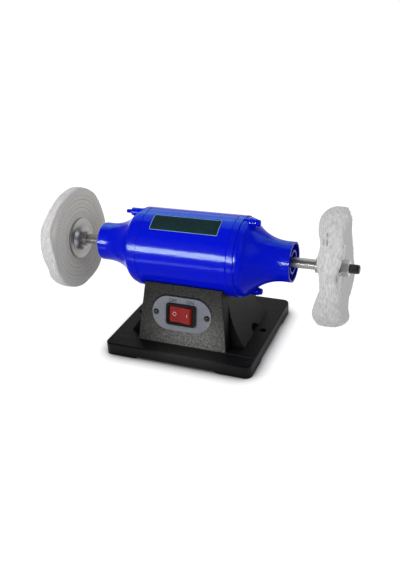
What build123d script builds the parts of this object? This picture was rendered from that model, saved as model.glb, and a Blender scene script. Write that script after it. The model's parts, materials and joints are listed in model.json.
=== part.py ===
"""Bench polishing machine: an enclosed motor on a cast pedestal, with a cloth buff on each arbor.

The bench is the plane Z = 0 and the origin lies under the middle of the base. X runs along the
shaft, the switch faces minus Y and Z is up. All sizes are in millimetres.
"""

import os
from math import asin, cos, degrees, exp, radians, sin, sqrt, tan

from build123d import *

os.makedirs("parts", exist_ok=True)

# Fits and clearances
running_gap = 0.06  # round a turning pin or ball
seat_gap = 0.08  # between round faces that seat on each other
hole_gap = 0.3  # round a screw in a plain hole
free_gap = 0.4  # round a piece that moves past another

# Base casting: plate, feet, pedestal and flares
base_width = 218.0
base_depth = 190.0
base_corner = 9.5
plate_top = 18.3
plate_edge = 2.0
plate_web = 7.0
base_wall = 6.0
foot_height = 3.2
foot_length_x = 46.0
foot_length_y = 41.0
foot_ramp = 7.0
housing_width = 132.8
housing_depth = 142.4
housing_top = 101.0
panel_lean = 14.4
side_draft = 6.25
housing_cove = 2.5
housing_corner = 1.5
housing_wall = 5.0
saddle_wall = 7.0
flare_width = 172.6
flare_depth = 102.0
flare_top = 88.0
flare_radius = 125.0
flare_wall = 11.0
bench_hole_spacing = 192.4
bench_hole_radius = 4.75
bench_boss_radius = 11.0
spot_face_radius = 16.0

# Bottom cover and what it carries
cover_height = 3.0
cover_thickness = 1.5
cover_screw_spacing_x = 142.0
cover_screw_spacing_y = 144.0
cover_margin = 6.0
cover_corner = 5.0
cover_boss_radius = 5.0
small_screw_radius = 2.0
small_head_radius = 3.8
small_head_height = 2.3
cover_screw_length = 6.0
tray_screw_length = 4.2
capacitor_radius = 17.5
capacitor_length = 66.0
capacitor_x = -6.0
capacitor_y = 24.0
capacitor_edge = 2.0
strap_thickness = 1.2
strap_width = 14.0
strap_ear = 11.0
block_length = 40.0
block_width = 17.0
block_height = 14.0
block_ear = 9.0
block_ear_height = 2.0
block_x = -6.0
block_y = -24.0
block_wire_radius = 2.2
block_wire_pitch = 12.0

# Motor shell and what fixes it to the pedestal
shaft_height = 131.3
shell_radius = 56.0
shell_wall = 2.0
shell_length = 131.0
seam_chamfer = 0.6
motor_bolt_radius = 3.0
motor_bolt_spacing = 96.0
motor_bolt_angle = 16.0
motor_bolt_end = 1.5
motor_bolt_head_flats = 10.0
motor_bolt_head_height = 4.0
motor_washer_radius = 6.2
motor_washer_thickness = 1.6
spot_depth = 0.8
weld_nut_radius = 6.0
weld_nut_height = 6.0
lead_hole_radius = 5.5
lead_hole_x = -33.0
lead_hole_angle = 20.0
grommet_flange_radius = 7.5
grommet_flange_height = 1.6
grommet_lip = 1.0
grommet_bore_radius = 3.6

# End bells
rim_length = 9.5
rim_edge = 0.8
rim_step = 1.7
rim_groove = 2.0
shoulder_round = 9.0
shoulder_turn = 52.0
bell_length = 76.5
bell_wall = 4.0
neck_radius = 27.3
neck_wall = 2.5
neck_recess = 14.0
tunnel_radius = 13.8
tunnel_wall = 2.5
tunnel_setback = 1.0
rib_count = 3
rib_width = 3.0
rib_setback = 2.5
hub_wall = 4.0
hub_depth = 8.0
spigot_length = 6.0
spigot_wall = 3.5
tie_inset = 5.0
tie_radius = 2.5
tie_head_radius = 4.5
tie_head_height = 5.2
tie_tail = 8.7
tie_boss_radius = 5.6
tie_boss_length = 16.8
tie_web_width = 8.0
tie_web_setback = 3.0

# Stator and rotor
stator_length = 50.0
stator_bore = 30.0
slot_count = 24
slot_root = 33.0
slot_setback = 1.0
slot_width = 4.6
slot_liner = 0.3
tie_notch = 3.6
winding_inner = 33.5
winding_margin = 3.0
winding_overhang = 20.0
winding_round = 4.0
air_gap = 0.5
cage_ring_inner = 19.0
cage_ring_width = 6.0
cage_setback = 0.6
cage_fin_count = 9
cage_fin_width = 3.0
cage_fin_height = 7.0
cage_bar_count = 18
cage_bar_radius = 2.0
cage_bar_circle = 25.5

# Shaft, by distance from the middle of the motor
rotor_seat_radius = 9.0
journal_radius = 7.5
extension_radius = 7.0
arbor_radius = 6.0
bearing_distance = 112.0
arbor_distance = 172.0
arbor_length = 56.0
arbor_chamfer = 1.2

# Ball bearings
bearing_radius = 17.5
bearing_width = 11.0
ball_radius = 2.95
ball_count = 8
land_height = 2.7
ball_cage_wall = 1.5
ball_cage_width = 7.4
ball_cage_gap = 0.12
seal_thickness = 0.7
seal_inset = 0.3
wave_washer_thickness = 1.2
wave_washer_width = 2.8

# Clamp flanges and nuts
flange_radius = 30.0
collar_radius = 10.5
collar_length = 6.0
dome_radius = 22.0
dome_length = 6.0
inner_flange_rim = 4.0
outer_flange_thickness = 4.0
outer_flange_edge = 0.8
nut_flats = 19.0
nut_thickness = 10.0
nut_chamfer = 30.0

# Stitched buff
buff_hub_thickness = 13.0
buff_bore_gap = 0.3
stitched_radius = 75.0
stitched_swell = 1.2
stitched_round = 3.0
stitched_hub = 33.0
stitch_first = 44.0
stitch_pitch = 6.0
stitch_rows = 4
stitch_width = 1.8
stitch_depth = 0.7

# Loose buff: rim edges as distances along the shaft, with its folds as (angle, spread, push).
# Angles run from the front (0) over the top (90).
loose_radius = 76.5
loose_crown = 4.0
loose_hub = 33.0
loose_sections = 32
loose_seam = 120.0
motor_edge = 184.0
motor_edge_folds = ((8, 16, 9.5), (36, 14, 5.5), (78, 14, -4.0))
outer_edge = 210.0
outer_edge_swing = 7.0
outer_edge_lean = -20.0
outer_edge_folds = (
    (100, 18, -5.0),
    (41, 12, 5.0),
    (17, 8, -5.5),
    (0, 9, 4.0),
    (-88, 12, 6.0),
    (-148, 16, 3.5),
)

# Switch on the front panel
switch_rise = 45.2
switch_plate_width = 88.0
switch_plate_height = 48.0
switch_plate_thickness = 2.0
switch_plate_edge = 0.6
switch_screw_spacing = 76.0
switch_screw_length = 9.0
bezel_width = 44.5
bezel_height = 31.0
bezel_thickness = 3.0
bezel_corner = 4.5
bezel_edge = 0.8
bezel_dish = 1.2
bezel_rim = 3.0
switch_body_width = 40.0
switch_body_height = 27.0
switch_body_depth = 24.0
rocker_reach = 17.0
rocker_height = 22.0
rocker_rise = 5.4
rocker_skirt = 5.0
rocker_throw = 14.0
rocker_edge = 0.7
pivot_depth = 1.0
pivot_radius = 1.5
pivot_length = 1.2
rocker_room = 2.6
blade_width = 6.3
blade_thickness = 0.8
blade_length = 9.0
blade_spacing_x = 22.0
blade_spacing_y = 13.0

# Cord gland in the rear wall
gland_x = 40.0
gland_rise = 20.0
gland_radius = 8.0
gland_flange_radius = 11.0
gland_flange_thickness = 3.5
gland_lip_radius = 9.2
gland_lip_length = 3.0
gland_bore_radius = 3.8
gland_edge = 0.8

# Places that several pieces share
shell_half = shell_length / 2
shell_bore = shell_radius - shell_wall
tie_circle = shell_radius - tie_inset
winding_outer = tie_circle - tie_radius - winding_margin
slot_depth = winding_outer - slot_setback - slot_root
rim_end = shell_half + rim_length
shoulder_start = rim_end + rim_groove
neck_end = shell_half + bell_length
tie_seat = rim_end + tie_boss_length
bearing_end = bearing_distance + bearing_width
bearing_pitch = (journal_radius + bearing_radius) / 2
flange_face = arbor_distance + collar_length + dome_length + inner_flange_rim
buff_end = flange_face + buff_hub_thickness
nut_seat = buff_end + outer_flange_thickness
shaft_end = arbor_distance + arbor_length
groove_radius = ball_radius + running_gap
cover_top = cover_height + cover_thickness
saddle_underside = shell_radius + seat_gap + saddle_wall
washer_seat = saddle_underside - spot_depth
motor_bolt_angles = (-motor_bolt_angle, motor_bolt_angle)
lean_slope = tan(radians(panel_lean))
draft_slope = tan(radians(side_draft))
shaft_axis = Axis((0, 0, shaft_height), (1, 0, 0))
sides = ((-1, "left"), (1, "right"))


def along_shaft(side):
    """Plane through the shaft, with the distance out along the shaft as x and the radius as y."""
    return Plane(origin=(0, 0, shaft_height), x_dir=(side, 0, 0), z_dir=(0, -side, 0))


def across_shaft(side, distance):
    """Plane square to the shaft at a distance from the motor's middle, facing outwards."""
    return Plane(
        origin=(side * distance, 0, shaft_height),
        x_dir=(0, side, 0),
        z_dir=(side, 0, 0),
    )


def under_motor(angle, radius):
    """Plane at a radius below the shaft, swung towards the rear by an angle, facing the shaft."""
    swing = radians(angle)
    return Plane(
        origin=(0, radius * sin(swing), shaft_height - radius * cos(swing)),
        x_dir=(1, 0, 0),
        z_dir=(0, -sin(swing), cos(swing)),
    )


def housing_half_width(height):
    """Half the pedestal's width at a height above the bench."""
    return housing_width / 2 - (height - plate_top) * draft_slope


def housing_half_depth(height):
    """Half the pedestal's depth at a height above the bench."""
    return housing_depth / 2 - (height - plate_top) * lean_slope


def panel(rise, depth_side):
    """Plane on the leaning front (-1) or rear (1) wall, a distance up its slope, facing out."""
    lean = radians(panel_lean)
    return Plane(
        origin=(
            0,
            depth_side * (housing_depth / 2 - rise * sin(lean)),
            plate_top + rise * cos(lean),
        ),
        x_dir=(-depth_side, 0, 0),
        z_dir=(0, depth_side * cos(lean), sin(lean)),
    )


# Pedestal block: leaning front and rear with a cove at the foot, cut to the drafted sides.
cove_rise = housing_cove * cos(radians(panel_lean))
with BuildPart() as pedestal:
    with BuildSketch(Plane.YZ):
        with BuildLine():
            foot = (housing_half_depth(plate_top) + housing_cove, plate_top)
            cove_top = (housing_half_depth(plate_top + cove_rise), plate_top + cove_rise)
            top = (housing_half_depth(housing_top), housing_top)
            TangentArc(foot, cove_top, tangent=(-1, 0))
            Line(cove_top, top)
            Line(top, (0, housing_top))
            Polyline(foot, (foot[0], plate_top - plate_web), (0, plate_top - plate_web))
            mirror(about=Plane.YZ)
        make_face()
    extrude(amount=base_width / 2, both=True)
    with BuildSketch(Plane.XZ):
        with BuildLine():
            low = plate_top - plate_web
            Polyline(
                (-housing_half_width(low), low),
                (housing_half_width(low), low),
                (housing_half_width(housing_top), housing_top),
                (-housing_half_width(housing_top), housing_top),
                close=True,
            )
        make_face()
    extrude(amount=base_depth / 2, both=True, mode=Mode.INTERSECT)
    walls = pedestal.edges().filter_by(GeomType.LINE)
    corners = walls.filter_by(lambda edge: edge.bounding_box().size.Z > housing_top / 2)
    fillet(corners, housing_corner)

# Hollow inside the pedestal, which follows the leaning walls and stays clear of the saddle.
wall_y = housing_wall / cos(radians(panel_lean))
wall_x = housing_wall / cos(radians(side_draft))
with BuildPart() as pedestal_room:
    for height in (0, shaft_height):
        with BuildSketch(Plane.XY.offset(height)):
            Rectangle(
                2 * (housing_half_width(height) - wall_x),
                2 * (housing_half_depth(height) - wall_y),
            )
    loft()
    with BuildSketch(Plane.XZ):
        flare_foot = flare_width / 2 - flare_wall
        flare_head = housing_half_width(flare_top) - flare_wall
        with BuildLine():
            RadiusArc((flare_foot, plate_top), (flare_head, flare_top), flare_radius)
            Polyline((flare_head, flare_top), (0, flare_top))
            Polyline((flare_foot, plate_top), (flare_foot, 0), (0, 0))
            mirror(about=Plane.YZ)
        make_face()
    extrude(amount=flare_depth / 2 - flare_wall - flare_top * lean_slope, both=True)
    with BuildSketch(across_shaft(1, 0)):
        Circle(saddle_underside)
    extrude(amount=base_width / 2, both=True, mode=Mode.SUBTRACT)

# Flares that carry the pedestal out to the bench holes.
with BuildPart() as flares:
    with BuildSketch(Plane.XZ):
        flare_foot = flare_width / 2
        flare_head = housing_half_width(flare_top)
        with BuildLine():
            RadiusArc((flare_foot, plate_top), (flare_head, flare_top), flare_radius)
            Line((flare_head, flare_top), (0, flare_top))
            low = plate_top - plate_web
            Polyline((flare_foot, plate_top), (flare_foot, low), (0, low))
            mirror(about=Plane.YZ)
        make_face()
    extrude(amount=flare_depth / 2, both=True)
    with BuildSketch(Plane.YZ):
        flare_lean = (flare_top - plate_top) * lean_slope
        with BuildLine():
            Polyline(
                (-flare_depth / 2, plate_top - plate_web),
                (flare_depth / 2, plate_top - plate_web),
                (flare_depth / 2, plate_top),
                (flare_depth / 2 - flare_lean, flare_top),
                (flare_lean - flare_depth / 2, flare_top),
                (-flare_depth / 2, plate_top),
                close=True,
            )
        make_face()
    extrude(amount=flare_width / 2, both=True, mode=Mode.INTERSECT)

# Base casting: the plate with its feet, pedestal, flares, saddle and hollow underside.
with BuildPart() as base_casting:
    with BuildSketch():
        RectangleRounded(base_width, base_depth, base_corner)
    extrude(amount=plate_top)
    fillet(base_casting.edges().group_by(Axis.Z)[-1], plate_edge)
    with BuildSketch():
        RectangleRounded(
            base_width - 2 * base_wall,
            base_depth - 2 * base_wall,
            base_corner - base_wall / 2,
        )
    extrude(amount=plate_top - plate_web, mode=Mode.SUBTRACT)
    with BuildSketch():
        with GridLocations(bench_hole_spacing, 0, 2, 1):
            Circle(bench_boss_radius)
    extrude(amount=plate_top)
    with BuildSketch(Plane.XY.offset(cover_top)):
        with GridLocations(cover_screw_spacing_x, cover_screw_spacing_y, 2, 2):
            Circle(cover_boss_radius)
    extrude(amount=plate_top - plate_web - cover_top)
    add(pedestal.part)
    add(flares.part)
    add(pedestal_room.part, mode=Mode.SUBTRACT)
    # Saddle for the motor shell.
    with BuildSketch(across_shaft(1, 0)):
        Circle(shell_radius + seat_gap)
    extrude(amount=base_width / 2, both=True, mode=Mode.SUBTRACT)
    # Level seats round the bench holes, and the holes themselves.
    with BuildSketch(Plane.XY.offset(plate_top)):
        with GridLocations(bench_hole_spacing, 0, 2, 1):
            Circle(spot_face_radius)
    extrude(amount=flare_top - plate_top, mode=Mode.SUBTRACT)
    with BuildSketch():
        with GridLocations(bench_hole_spacing, 0, 2, 1):
            Circle(bench_hole_radius)
    extrude(amount=plate_top, mode=Mode.SUBTRACT)
    # Gaps between the feet, with ramped ends.
    for foot_plane, half_span, depth in (
        (Plane.XZ, base_width / 2 - foot_length_x, base_depth),
        (Plane.YZ, base_depth / 2 - foot_length_y, base_width),
    ):
        with BuildSketch(foot_plane):
            with BuildLine():
                Polyline(
                    (-half_span, 0),
                    (half_span, 0),
                    (half_span - foot_ramp, foot_height),
                    (foot_ramp - half_span, foot_height),
                    close=True,
                )
            make_face()
        extrude(amount=depth / 2, both=True, mode=Mode.SUBTRACT)
    # Tapped holes for the cover screws.
    with BuildSketch(Plane.XY.offset(cover_top)):
        with GridLocations(cover_screw_spacing_x, cover_screw_spacing_y, 2, 2):
            Circle(small_screw_radius + seat_gap)
    extrude(amount=cover_screw_length, mode=Mode.SUBTRACT)
    # Seats and holes for the motor bolts, and the hole for the motor's leads.
    for angle in motor_bolt_angles:
        with BuildSketch(under_motor(angle, saddle_underside + spot_depth)):
            with GridLocations(motor_bolt_spacing, 0, 2, 1):
                Circle(motor_washer_radius + free_gap)
        extrude(amount=2 * spot_depth, mode=Mode.SUBTRACT)
        with BuildSketch(under_motor(angle, saddle_underside)):
            with GridLocations(motor_bolt_spacing, 0, 2, 1):
                Circle(motor_bolt_radius + hole_gap)
        extrude(amount=2 * saddle_wall, mode=Mode.SUBTRACT)
    with BuildSketch(under_motor(lead_hole_angle, saddle_underside + spot_depth)):
        with Locations((lead_hole_x, 0)):
            Circle(lead_hole_radius)
    extrude(amount=2 * saddle_wall, mode=Mode.SUBTRACT)
    # Window for the switch with its two plate screws, and the hole for the cord gland.
    with BuildSketch(panel(switch_rise, -1)):
        Rectangle(switch_body_width + 2 * hole_gap, switch_body_height + 2 * hole_gap)
        with GridLocations(switch_screw_spacing, 0, 2, 1):
            Circle(small_screw_radius + seat_gap)
    extrude(amount=-switch_screw_length, mode=Mode.SUBTRACT)
    with BuildSketch(panel(gland_rise, 1)):
        with Locations((-gland_x, 0)):
            Circle(gland_radius)
    extrude(amount=-2 * housing_wall, mode=Mode.SUBTRACT)
base_casting.part.label = "base_casting"
export_step(base_casting.part, "parts/base_casting.step")

# Sheet cover under the pedestal, with holes for its own screws and for what it carries.
strap_ear_span = 2 * (capacitor_radius + seat_gap + strap_thickness) + strap_ear
block_ear_span = block_length + block_ear
with BuildPart() as bottom_cover:
    with BuildSketch(Plane.XY.offset(cover_height)):
        RectangleRounded(
            cover_screw_spacing_x + 2 * cover_margin,
            cover_screw_spacing_y + 2 * cover_margin,
            cover_corner,
        )
        with GridLocations(cover_screw_spacing_x, cover_screw_spacing_y, 2, 2):
            Circle(small_screw_radius + hole_gap, mode=Mode.SUBTRACT)
        with Locations((capacitor_x, capacitor_y)):
            with GridLocations(0, strap_ear_span, 1, 2):
                Circle(small_screw_radius + seat_gap, mode=Mode.SUBTRACT)
        with Locations((block_x, block_y)):
            with GridLocations(block_ear_span, 0, 2, 1):
                Circle(small_screw_radius + seat_gap, mode=Mode.SUBTRACT)
    extrude(amount=cover_thickness)
bottom_cover.part.label = "bottom_cover"
export_step(bottom_cover.part, "parts/bottom_cover.step")

with BuildPart() as bottom_cover_screws:
    with BuildSketch(Plane.XY.offset(cover_height)):
        with GridLocations(cover_screw_spacing_x, cover_screw_spacing_y, 2, 2):
            Circle(small_head_radius)
    extrude(amount=-small_head_height)
    with BuildSketch(Plane.XY.offset(cover_height)):
        with GridLocations(cover_screw_spacing_x, cover_screw_spacing_y, 2, 2):
            Circle(small_screw_radius)
    extrude(amount=cover_screw_length)
bottom_cover_screws.part.label = "bottom_cover_screws"
export_step(bottom_cover_screws.part, "parts/bottom_cover_screws.step")

# Run capacitor lying on the cover, and the strap over it.
capacitor_axis_height = cover_top + capacitor_radius + seat_gap
with BuildPart() as capacitor:
    with BuildSketch(Plane.YZ.offset(capacitor_x - capacitor_length / 2)):
        with Locations((capacitor_y, capacitor_axis_height)):
            Circle(capacitor_radius)
    extrude(amount=capacitor_length)
    fillet(capacitor.edges().filter_by(GeomType.CIRCLE), capacitor_edge)
capacitor.part.label = "capacitor"
export_step(capacitor.part, "parts/capacitor.step")

with BuildPart() as capacitor_strap:
    strap_bore = capacitor_radius + seat_gap
    strap_outside = strap_bore + strap_thickness
    with BuildSketch(Plane.YZ.offset(capacitor_x - strap_width / 2)):
        with Locations((capacitor_y, capacitor_axis_height)):
            Circle(strap_outside)
        with Locations((capacitor_y, (cover_top + capacitor_axis_height) / 2)):
            Rectangle(2 * strap_outside, capacitor_axis_height - cover_top)
        with Locations((capacitor_y, cover_top + strap_thickness / 2)):
            Rectangle(2 * (strap_outside + strap_ear), strap_thickness)
        with Locations((capacitor_y, capacitor_axis_height)):
            Circle(strap_bore, mode=Mode.SUBTRACT)
        with Locations((capacitor_y, capacitor_axis_height / 2)):
            Rectangle(2 * strap_bore, capacitor_axis_height, mode=Mode.SUBTRACT)
    extrude(amount=strap_width)
    with BuildSketch(Plane.XY.offset(cover_top)):
        with Locations((capacitor_x, capacitor_y)):
            with GridLocations(0, strap_ear_span, 1, 2):
                Circle(small_screw_radius + hole_gap)
    extrude(amount=strap_thickness, mode=Mode.SUBTRACT)
capacitor_strap.part.label = "capacitor_strap"
export_step(capacitor_strap.part, "parts/capacitor_strap.step")

# Terminal block with an ear at each end and its wire entries.
with BuildPart() as terminal_block:
    with BuildSketch(Plane.XY.offset(cover_top)):
        with Locations((block_x, block_y)):
            Rectangle(block_length, block_width)
    extrude(amount=block_height)
    with BuildSketch(Plane.XY.offset(cover_top)):
        with Locations((block_x, block_y)):
            Rectangle(block_length + 2 * block_ear, block_width)
            with GridLocations(block_ear_span, 0, 2, 1):
                Circle(small_screw_radius + hole_gap, mode=Mode.SUBTRACT)
    extrude(amount=block_ear_height)
    with BuildSketch(Plane.XZ.offset(-block_y)):
        with Locations((block_x, cover_top + block_height / 2)):
            with GridLocations(block_wire_pitch, 0, 3, 1):
                Circle(block_wire_radius)
    extrude(amount=block_width / 2, both=True, mode=Mode.SUBTRACT)
terminal_block.part.label = "terminal_block"
export_step(terminal_block.part, "parts/terminal_block.step")

with BuildPart() as tray_screws:
    for seat, place, pitch_x, pitch_y in (
        (strap_thickness, (capacitor_x, capacitor_y), 0, strap_ear_span),
        (block_ear_height, (block_x, block_y), block_ear_span, 0),
    ):
        count_x = 2 if pitch_x else 1
        count_y = 2 if pitch_y else 1
        with BuildSketch(Plane.XY.offset(cover_top + seat)):
            with Locations(place):
                with GridLocations(pitch_x, pitch_y, count_x, count_y):
                    Circle(small_head_radius)
        extrude(amount=small_head_height)
        with BuildSketch(Plane.XY.offset(cover_top + seat)):
            with Locations(place):
                with GridLocations(pitch_x, pitch_y, count_x, count_y):
                    Circle(small_screw_radius)
        extrude(amount=-tray_screw_length)
tray_screws.part.label = "tray_screws"
export_step(tray_screws.part, "parts/tray_screws.step")

# Gland for the supply cord in the rear wall.
with BuildPart() as cord_gland:
    gland_plane = panel(gland_rise, 1)
    with BuildSketch(gland_plane):
        with Locations((-gland_x, 0)):
            Circle(gland_flange_radius)
    extrude(amount=gland_flange_thickness)
    gland_face = cord_gland.faces().sort_by(Axis((0, 0, 0), gland_plane.z_dir))[-1]
    fillet(gland_face.edges(), gland_edge)
    with BuildSketch(gland_plane):
        with Locations((-gland_x, 0)):
            Circle(gland_radius - seat_gap)
    extrude(amount=-housing_wall)
    with BuildSketch(gland_plane.offset(-housing_wall)):
        with Locations((-gland_x, 0)):
            Circle(gland_lip_radius)
    extrude(amount=-gland_lip_length, taper=10)
    with BuildSketch(gland_plane.offset(gland_flange_thickness)):
        with Locations((-gland_x, 0)):
            Circle(gland_bore_radius)
    extrude(
        amount=-gland_flange_thickness - housing_wall - gland_lip_length,
        mode=Mode.SUBTRACT,
    )
cord_gland.part.label = "cord_gland"
export_step(cord_gland.part, "parts/cord_gland.step")

# Motor shell: a rolled tube with weld nuts inside and the hole for its leads.
weld_nut_end = shell_bore - weld_nut_height
with BuildPart() as motor_shell:
    with BuildSketch(across_shaft(1, -shell_half)):
        Circle(shell_radius)
    extrude(amount=shell_length)
    chamfer(motor_shell.edges().filter_by(GeomType.CIRCLE), seam_chamfer)
    with BuildSketch(across_shaft(1, -shell_half)):
        Circle(shell_bore)
    extrude(amount=shell_length, mode=Mode.SUBTRACT)
    for angle in motor_bolt_angles:
        with BuildSketch(under_motor(angle, shell_radius - shell_wall / 2)):
            with GridLocations(motor_bolt_spacing, 0, 2, 1):
                Circle(weld_nut_radius)
        extrude(amount=shell_wall / 2 + weld_nut_height)
        with BuildSketch(under_motor(angle, shell_radius)):
            with GridLocations(motor_bolt_spacing, 0, 2, 1):
                Circle(motor_bolt_radius + seat_gap)
        extrude(amount=shell_wall + weld_nut_height, mode=Mode.SUBTRACT)
    with BuildSketch(under_motor(lead_hole_angle, shell_radius)):
        with Locations((lead_hole_x, 0)):
            Circle(lead_hole_radius)
    extrude(amount=2 * shell_wall, mode=Mode.SUBTRACT)
motor_shell.part.label = "motor_shell"
export_step(motor_shell.part, "parts/motor_shell.step")

with BuildPart() as motor_bolts:
    head_seat = washer_seat + motor_washer_thickness
    for angle in motor_bolt_angles:
        with BuildSketch(under_motor(angle, head_seat)):
            with GridLocations(motor_bolt_spacing, 0, 2, 1):
                RegularPolygon(motor_bolt_head_flats / 2, 6, major_radius=False)
        extrude(amount=-motor_bolt_head_height)
        with BuildSketch(under_motor(angle, head_seat)):
            with GridLocations(motor_bolt_spacing, 0, 2, 1):
                Circle(motor_bolt_radius)
        extrude(amount=head_seat - weld_nut_end - motor_bolt_end)
motor_bolts.part.label = "motor_bolts"
export_step(motor_bolts.part, "parts/motor_bolts.step")

with BuildPart() as motor_washers:
    for angle in motor_bolt_angles:
        with BuildSketch(under_motor(angle, washer_seat)):
            with GridLocations(motor_bolt_spacing, 0, 2, 1):
                Circle(motor_washer_radius)
                Circle(motor_bolt_radius + hole_gap, mode=Mode.SUBTRACT)
        extrude(amount=-motor_washer_thickness)
motor_washers.part.label = "motor_washers"
export_step(motor_washers.part, "parts/motor_washers.step")

with BuildPart() as lead_grommet:
    grommet_flange_end = saddle_underside + grommet_flange_height
    grommet_end = shell_bore - grommet_lip
    with BuildSketch(under_motor(lead_hole_angle, saddle_underside)):
        with Locations((lead_hole_x, 0)):
            Circle(grommet_flange_radius)
    extrude(amount=-grommet_flange_height)
    with BuildSketch(under_motor(lead_hole_angle, saddle_underside)):
        with Locations((lead_hole_x, 0)):
            Circle(lead_hole_radius - seat_gap)
    extrude(amount=saddle_underside - grommet_end)
    with BuildSketch(under_motor(lead_hole_angle, grommet_flange_end)):
        with Locations((lead_hole_x, 0)):
            Circle(grommet_bore_radius)
    extrude(amount=grommet_flange_end - grommet_end, mode=Mode.SUBTRACT)
lead_grommet.part.label = "lead_grommet"
export_step(lead_grommet.part, "parts/lead_grommet.step")

# Trumpet-shaped end bells. The shoulder turns over and sweeps in to the neck on one tangent arc.
shoulder_radius = shell_radius - rim_step
turn = radians(shoulder_turn)
turn_in = shoulder_radius - shoulder_round * (1 - cos(turn))
sweep_radius = (turn_in - neck_radius) / (1 - cos(turn))
sweep_end = shoulder_start + (shoulder_round + sweep_radius) * sin(turn)
room_end = bearing_distance + hub_depth
room_radius = sweep_radius + bell_wall
room_turn = degrees(asin((sweep_end - room_end) / room_radius))
spigot_radius = shell_bore - seat_gap
hub_radius = bearing_radius + seat_gap + hub_wall
for side, name in sides:
    seat_end = bearing_end + (wave_washer_thickness if side < 0 else 0)
    with BuildPart() as end_bell:
        with BuildSketch(along_shaft(side)):
            with BuildLine():
                rim = Polyline(
                    (shell_half - spigot_length, 0),
                    (shell_half - spigot_length, spigot_radius),
                    (shell_half, spigot_radius),
                    (shell_half, shell_radius - seam_chamfer),
                    (shell_half + seam_chamfer, shell_radius),
                    (rim_end - rim_edge, shell_radius),
                )
                edge = JernArc(rim @ 1, (1, 0), rim_edge, -90)
                step = Polyline(
                    edge @ 1,
                    (rim_end, shoulder_radius),
                    (shoulder_start, shoulder_radius),
                )
                shoulder = JernArc(step @ 1, (1, 0), shoulder_round, -shoulder_turn)
                sweep_arc = JernArc(shoulder @ 1, shoulder % 1, sweep_radius, shoulder_turn)
                Polyline(
                    sweep_arc @ 1,
                    (neck_end, neck_radius),
                    (neck_end, 0),
                    (shell_half - spigot_length, 0),
                )
            make_face()
        revolve(axis=shaft_axis)
        # Bosses for the tie bolts, each on a web that runs in to the trumpet.
        with BuildSketch(across_shaft(side, rim_end)):
            with PolarLocations(tie_circle, 2, start_angle=90):
                Circle(tie_boss_radius)
        extrude(amount=tie_boss_length)
        with BuildSketch(across_shaft(side, rim_end)):
            Rectangle(tie_web_width, 2 * tie_circle)
        extrude(amount=tie_boss_length - tie_web_setback)
        # Room inside, bearing seat and shaft tunnel.
        with BuildSketch(along_shaft(side)):
            with BuildLine():
                mouth = Polyline(
                    (shell_half - spigot_length, 0),
                    (shell_half - spigot_length, spigot_radius - spigot_wall),
                    (shell_half, spigot_radius - spigot_wall),
                    (shoulder_start, shoulder_radius - bell_wall),
                )
                inner_turn = JernArc(
                    mouth @ 1, (1, 0), shoulder_round - bell_wall, -shoulder_turn
                )
                inner_sweep = JernArc(
                    inner_turn @ 1, inner_turn % 1, room_radius, shoulder_turn - room_turn
                )
                Polyline(
                    inner_sweep @ 1,
                    (room_end, hub_radius),
                    (bearing_distance, hub_radius),
                    (bearing_distance, bearing_radius + seat_gap),
                    (seat_end, bearing_radius + seat_gap),
                    (seat_end, tunnel_radius),
                    (neck_end, tunnel_radius),
                    (neck_end, 0),
                    (shell_half - spigot_length, 0),
                )
            make_face()
        revolve(axis=shaft_axis, mode=Mode.SUBTRACT)
        # Ring recess in the neck's end, with ribs between its walls.
        with BuildSketch(across_shaft(side, neck_end)):
            Circle(neck_radius - neck_wall)
            Circle(tunnel_radius + tunnel_wall, mode=Mode.SUBTRACT)
            rib_reach = neck_radius - neck_wall / 2 - tunnel_radius - tunnel_wall / 2
            with PolarLocations(
                tunnel_radius + tunnel_wall / 2 + rib_reach / 2, rib_count, start_angle=-90
            ):
                Rectangle(rib_reach, rib_width, mode=Mode.SUBTRACT)
        extrude(amount=-neck_recess, mode=Mode.SUBTRACT)
        with BuildSketch(across_shaft(side, neck_end)):
            Circle(neck_radius - neck_wall)
            Circle(tunnel_radius + tunnel_wall, mode=Mode.SUBTRACT)
        extrude(amount=-rib_setback, mode=Mode.SUBTRACT)
        with BuildSketch(across_shaft(side, neck_end)):
            Circle(tunnel_radius + tunnel_wall)
        extrude(amount=-tunnel_setback, mode=Mode.SUBTRACT)
        # Tie bolt holes: plain on the right, tapped on the left.
        with BuildSketch(across_shaft(side, tie_seat)):
            with PolarLocations(tie_circle, 2, start_angle=90):
                Circle(tie_radius + (hole_gap if side > 0 else seat_gap))
        extrude(amount=shell_half - spigot_length - tie_seat, mode=Mode.SUBTRACT)
    end_bell.part.label = f"{name}_end_bell"
    export_step(end_bell.part, f"parts/{name}_end_bell.step")

with BuildPart() as tie_bolts:
    head_round = tie_head_radius / 2
    with BuildSketch(across_shaft(1, tie_seat)):
        with PolarLocations(tie_circle, 2, start_angle=90):
            Circle(tie_head_radius)
    extrude(amount=tie_head_height)
    tops = tie_bolts.faces().filter_by(GeomType.PLANE).group_by(Axis.X)[-1]
    fillet(tops.edges(), head_round)
    with BuildSketch(across_shaft(1, tie_seat)):
        with PolarLocations(tie_circle, 2, start_angle=90):
            Circle(tie_radius)
    extrude(amount=-2 * tie_seat - tie_tail)
tie_bolts.part.label = "tie_bolts"
export_step(tie_bolts.part, "parts/tie_bolts.step")

# Stator laminations with their slots, notched for the tie bolts.
stator_half = stator_length / 2
slot_middle = slot_root + slot_depth / 2
with BuildPart() as stator_core:
    with BuildSketch(across_shaft(1, -stator_half)):
        Circle(shell_bore - seat_gap)
        Circle(stator_bore, mode=Mode.SUBTRACT)
        with PolarLocations(slot_middle, slot_count):
            Rectangle(slot_depth, slot_width, mode=Mode.SUBTRACT)
        with PolarLocations(tie_circle, 2, start_angle=90):
            Circle(tie_notch, mode=Mode.SUBTRACT)
    extrude(amount=stator_length)
stator_core.part.label = "stator_core"
export_step(stator_core.part, "parts/stator_core.step")

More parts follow.
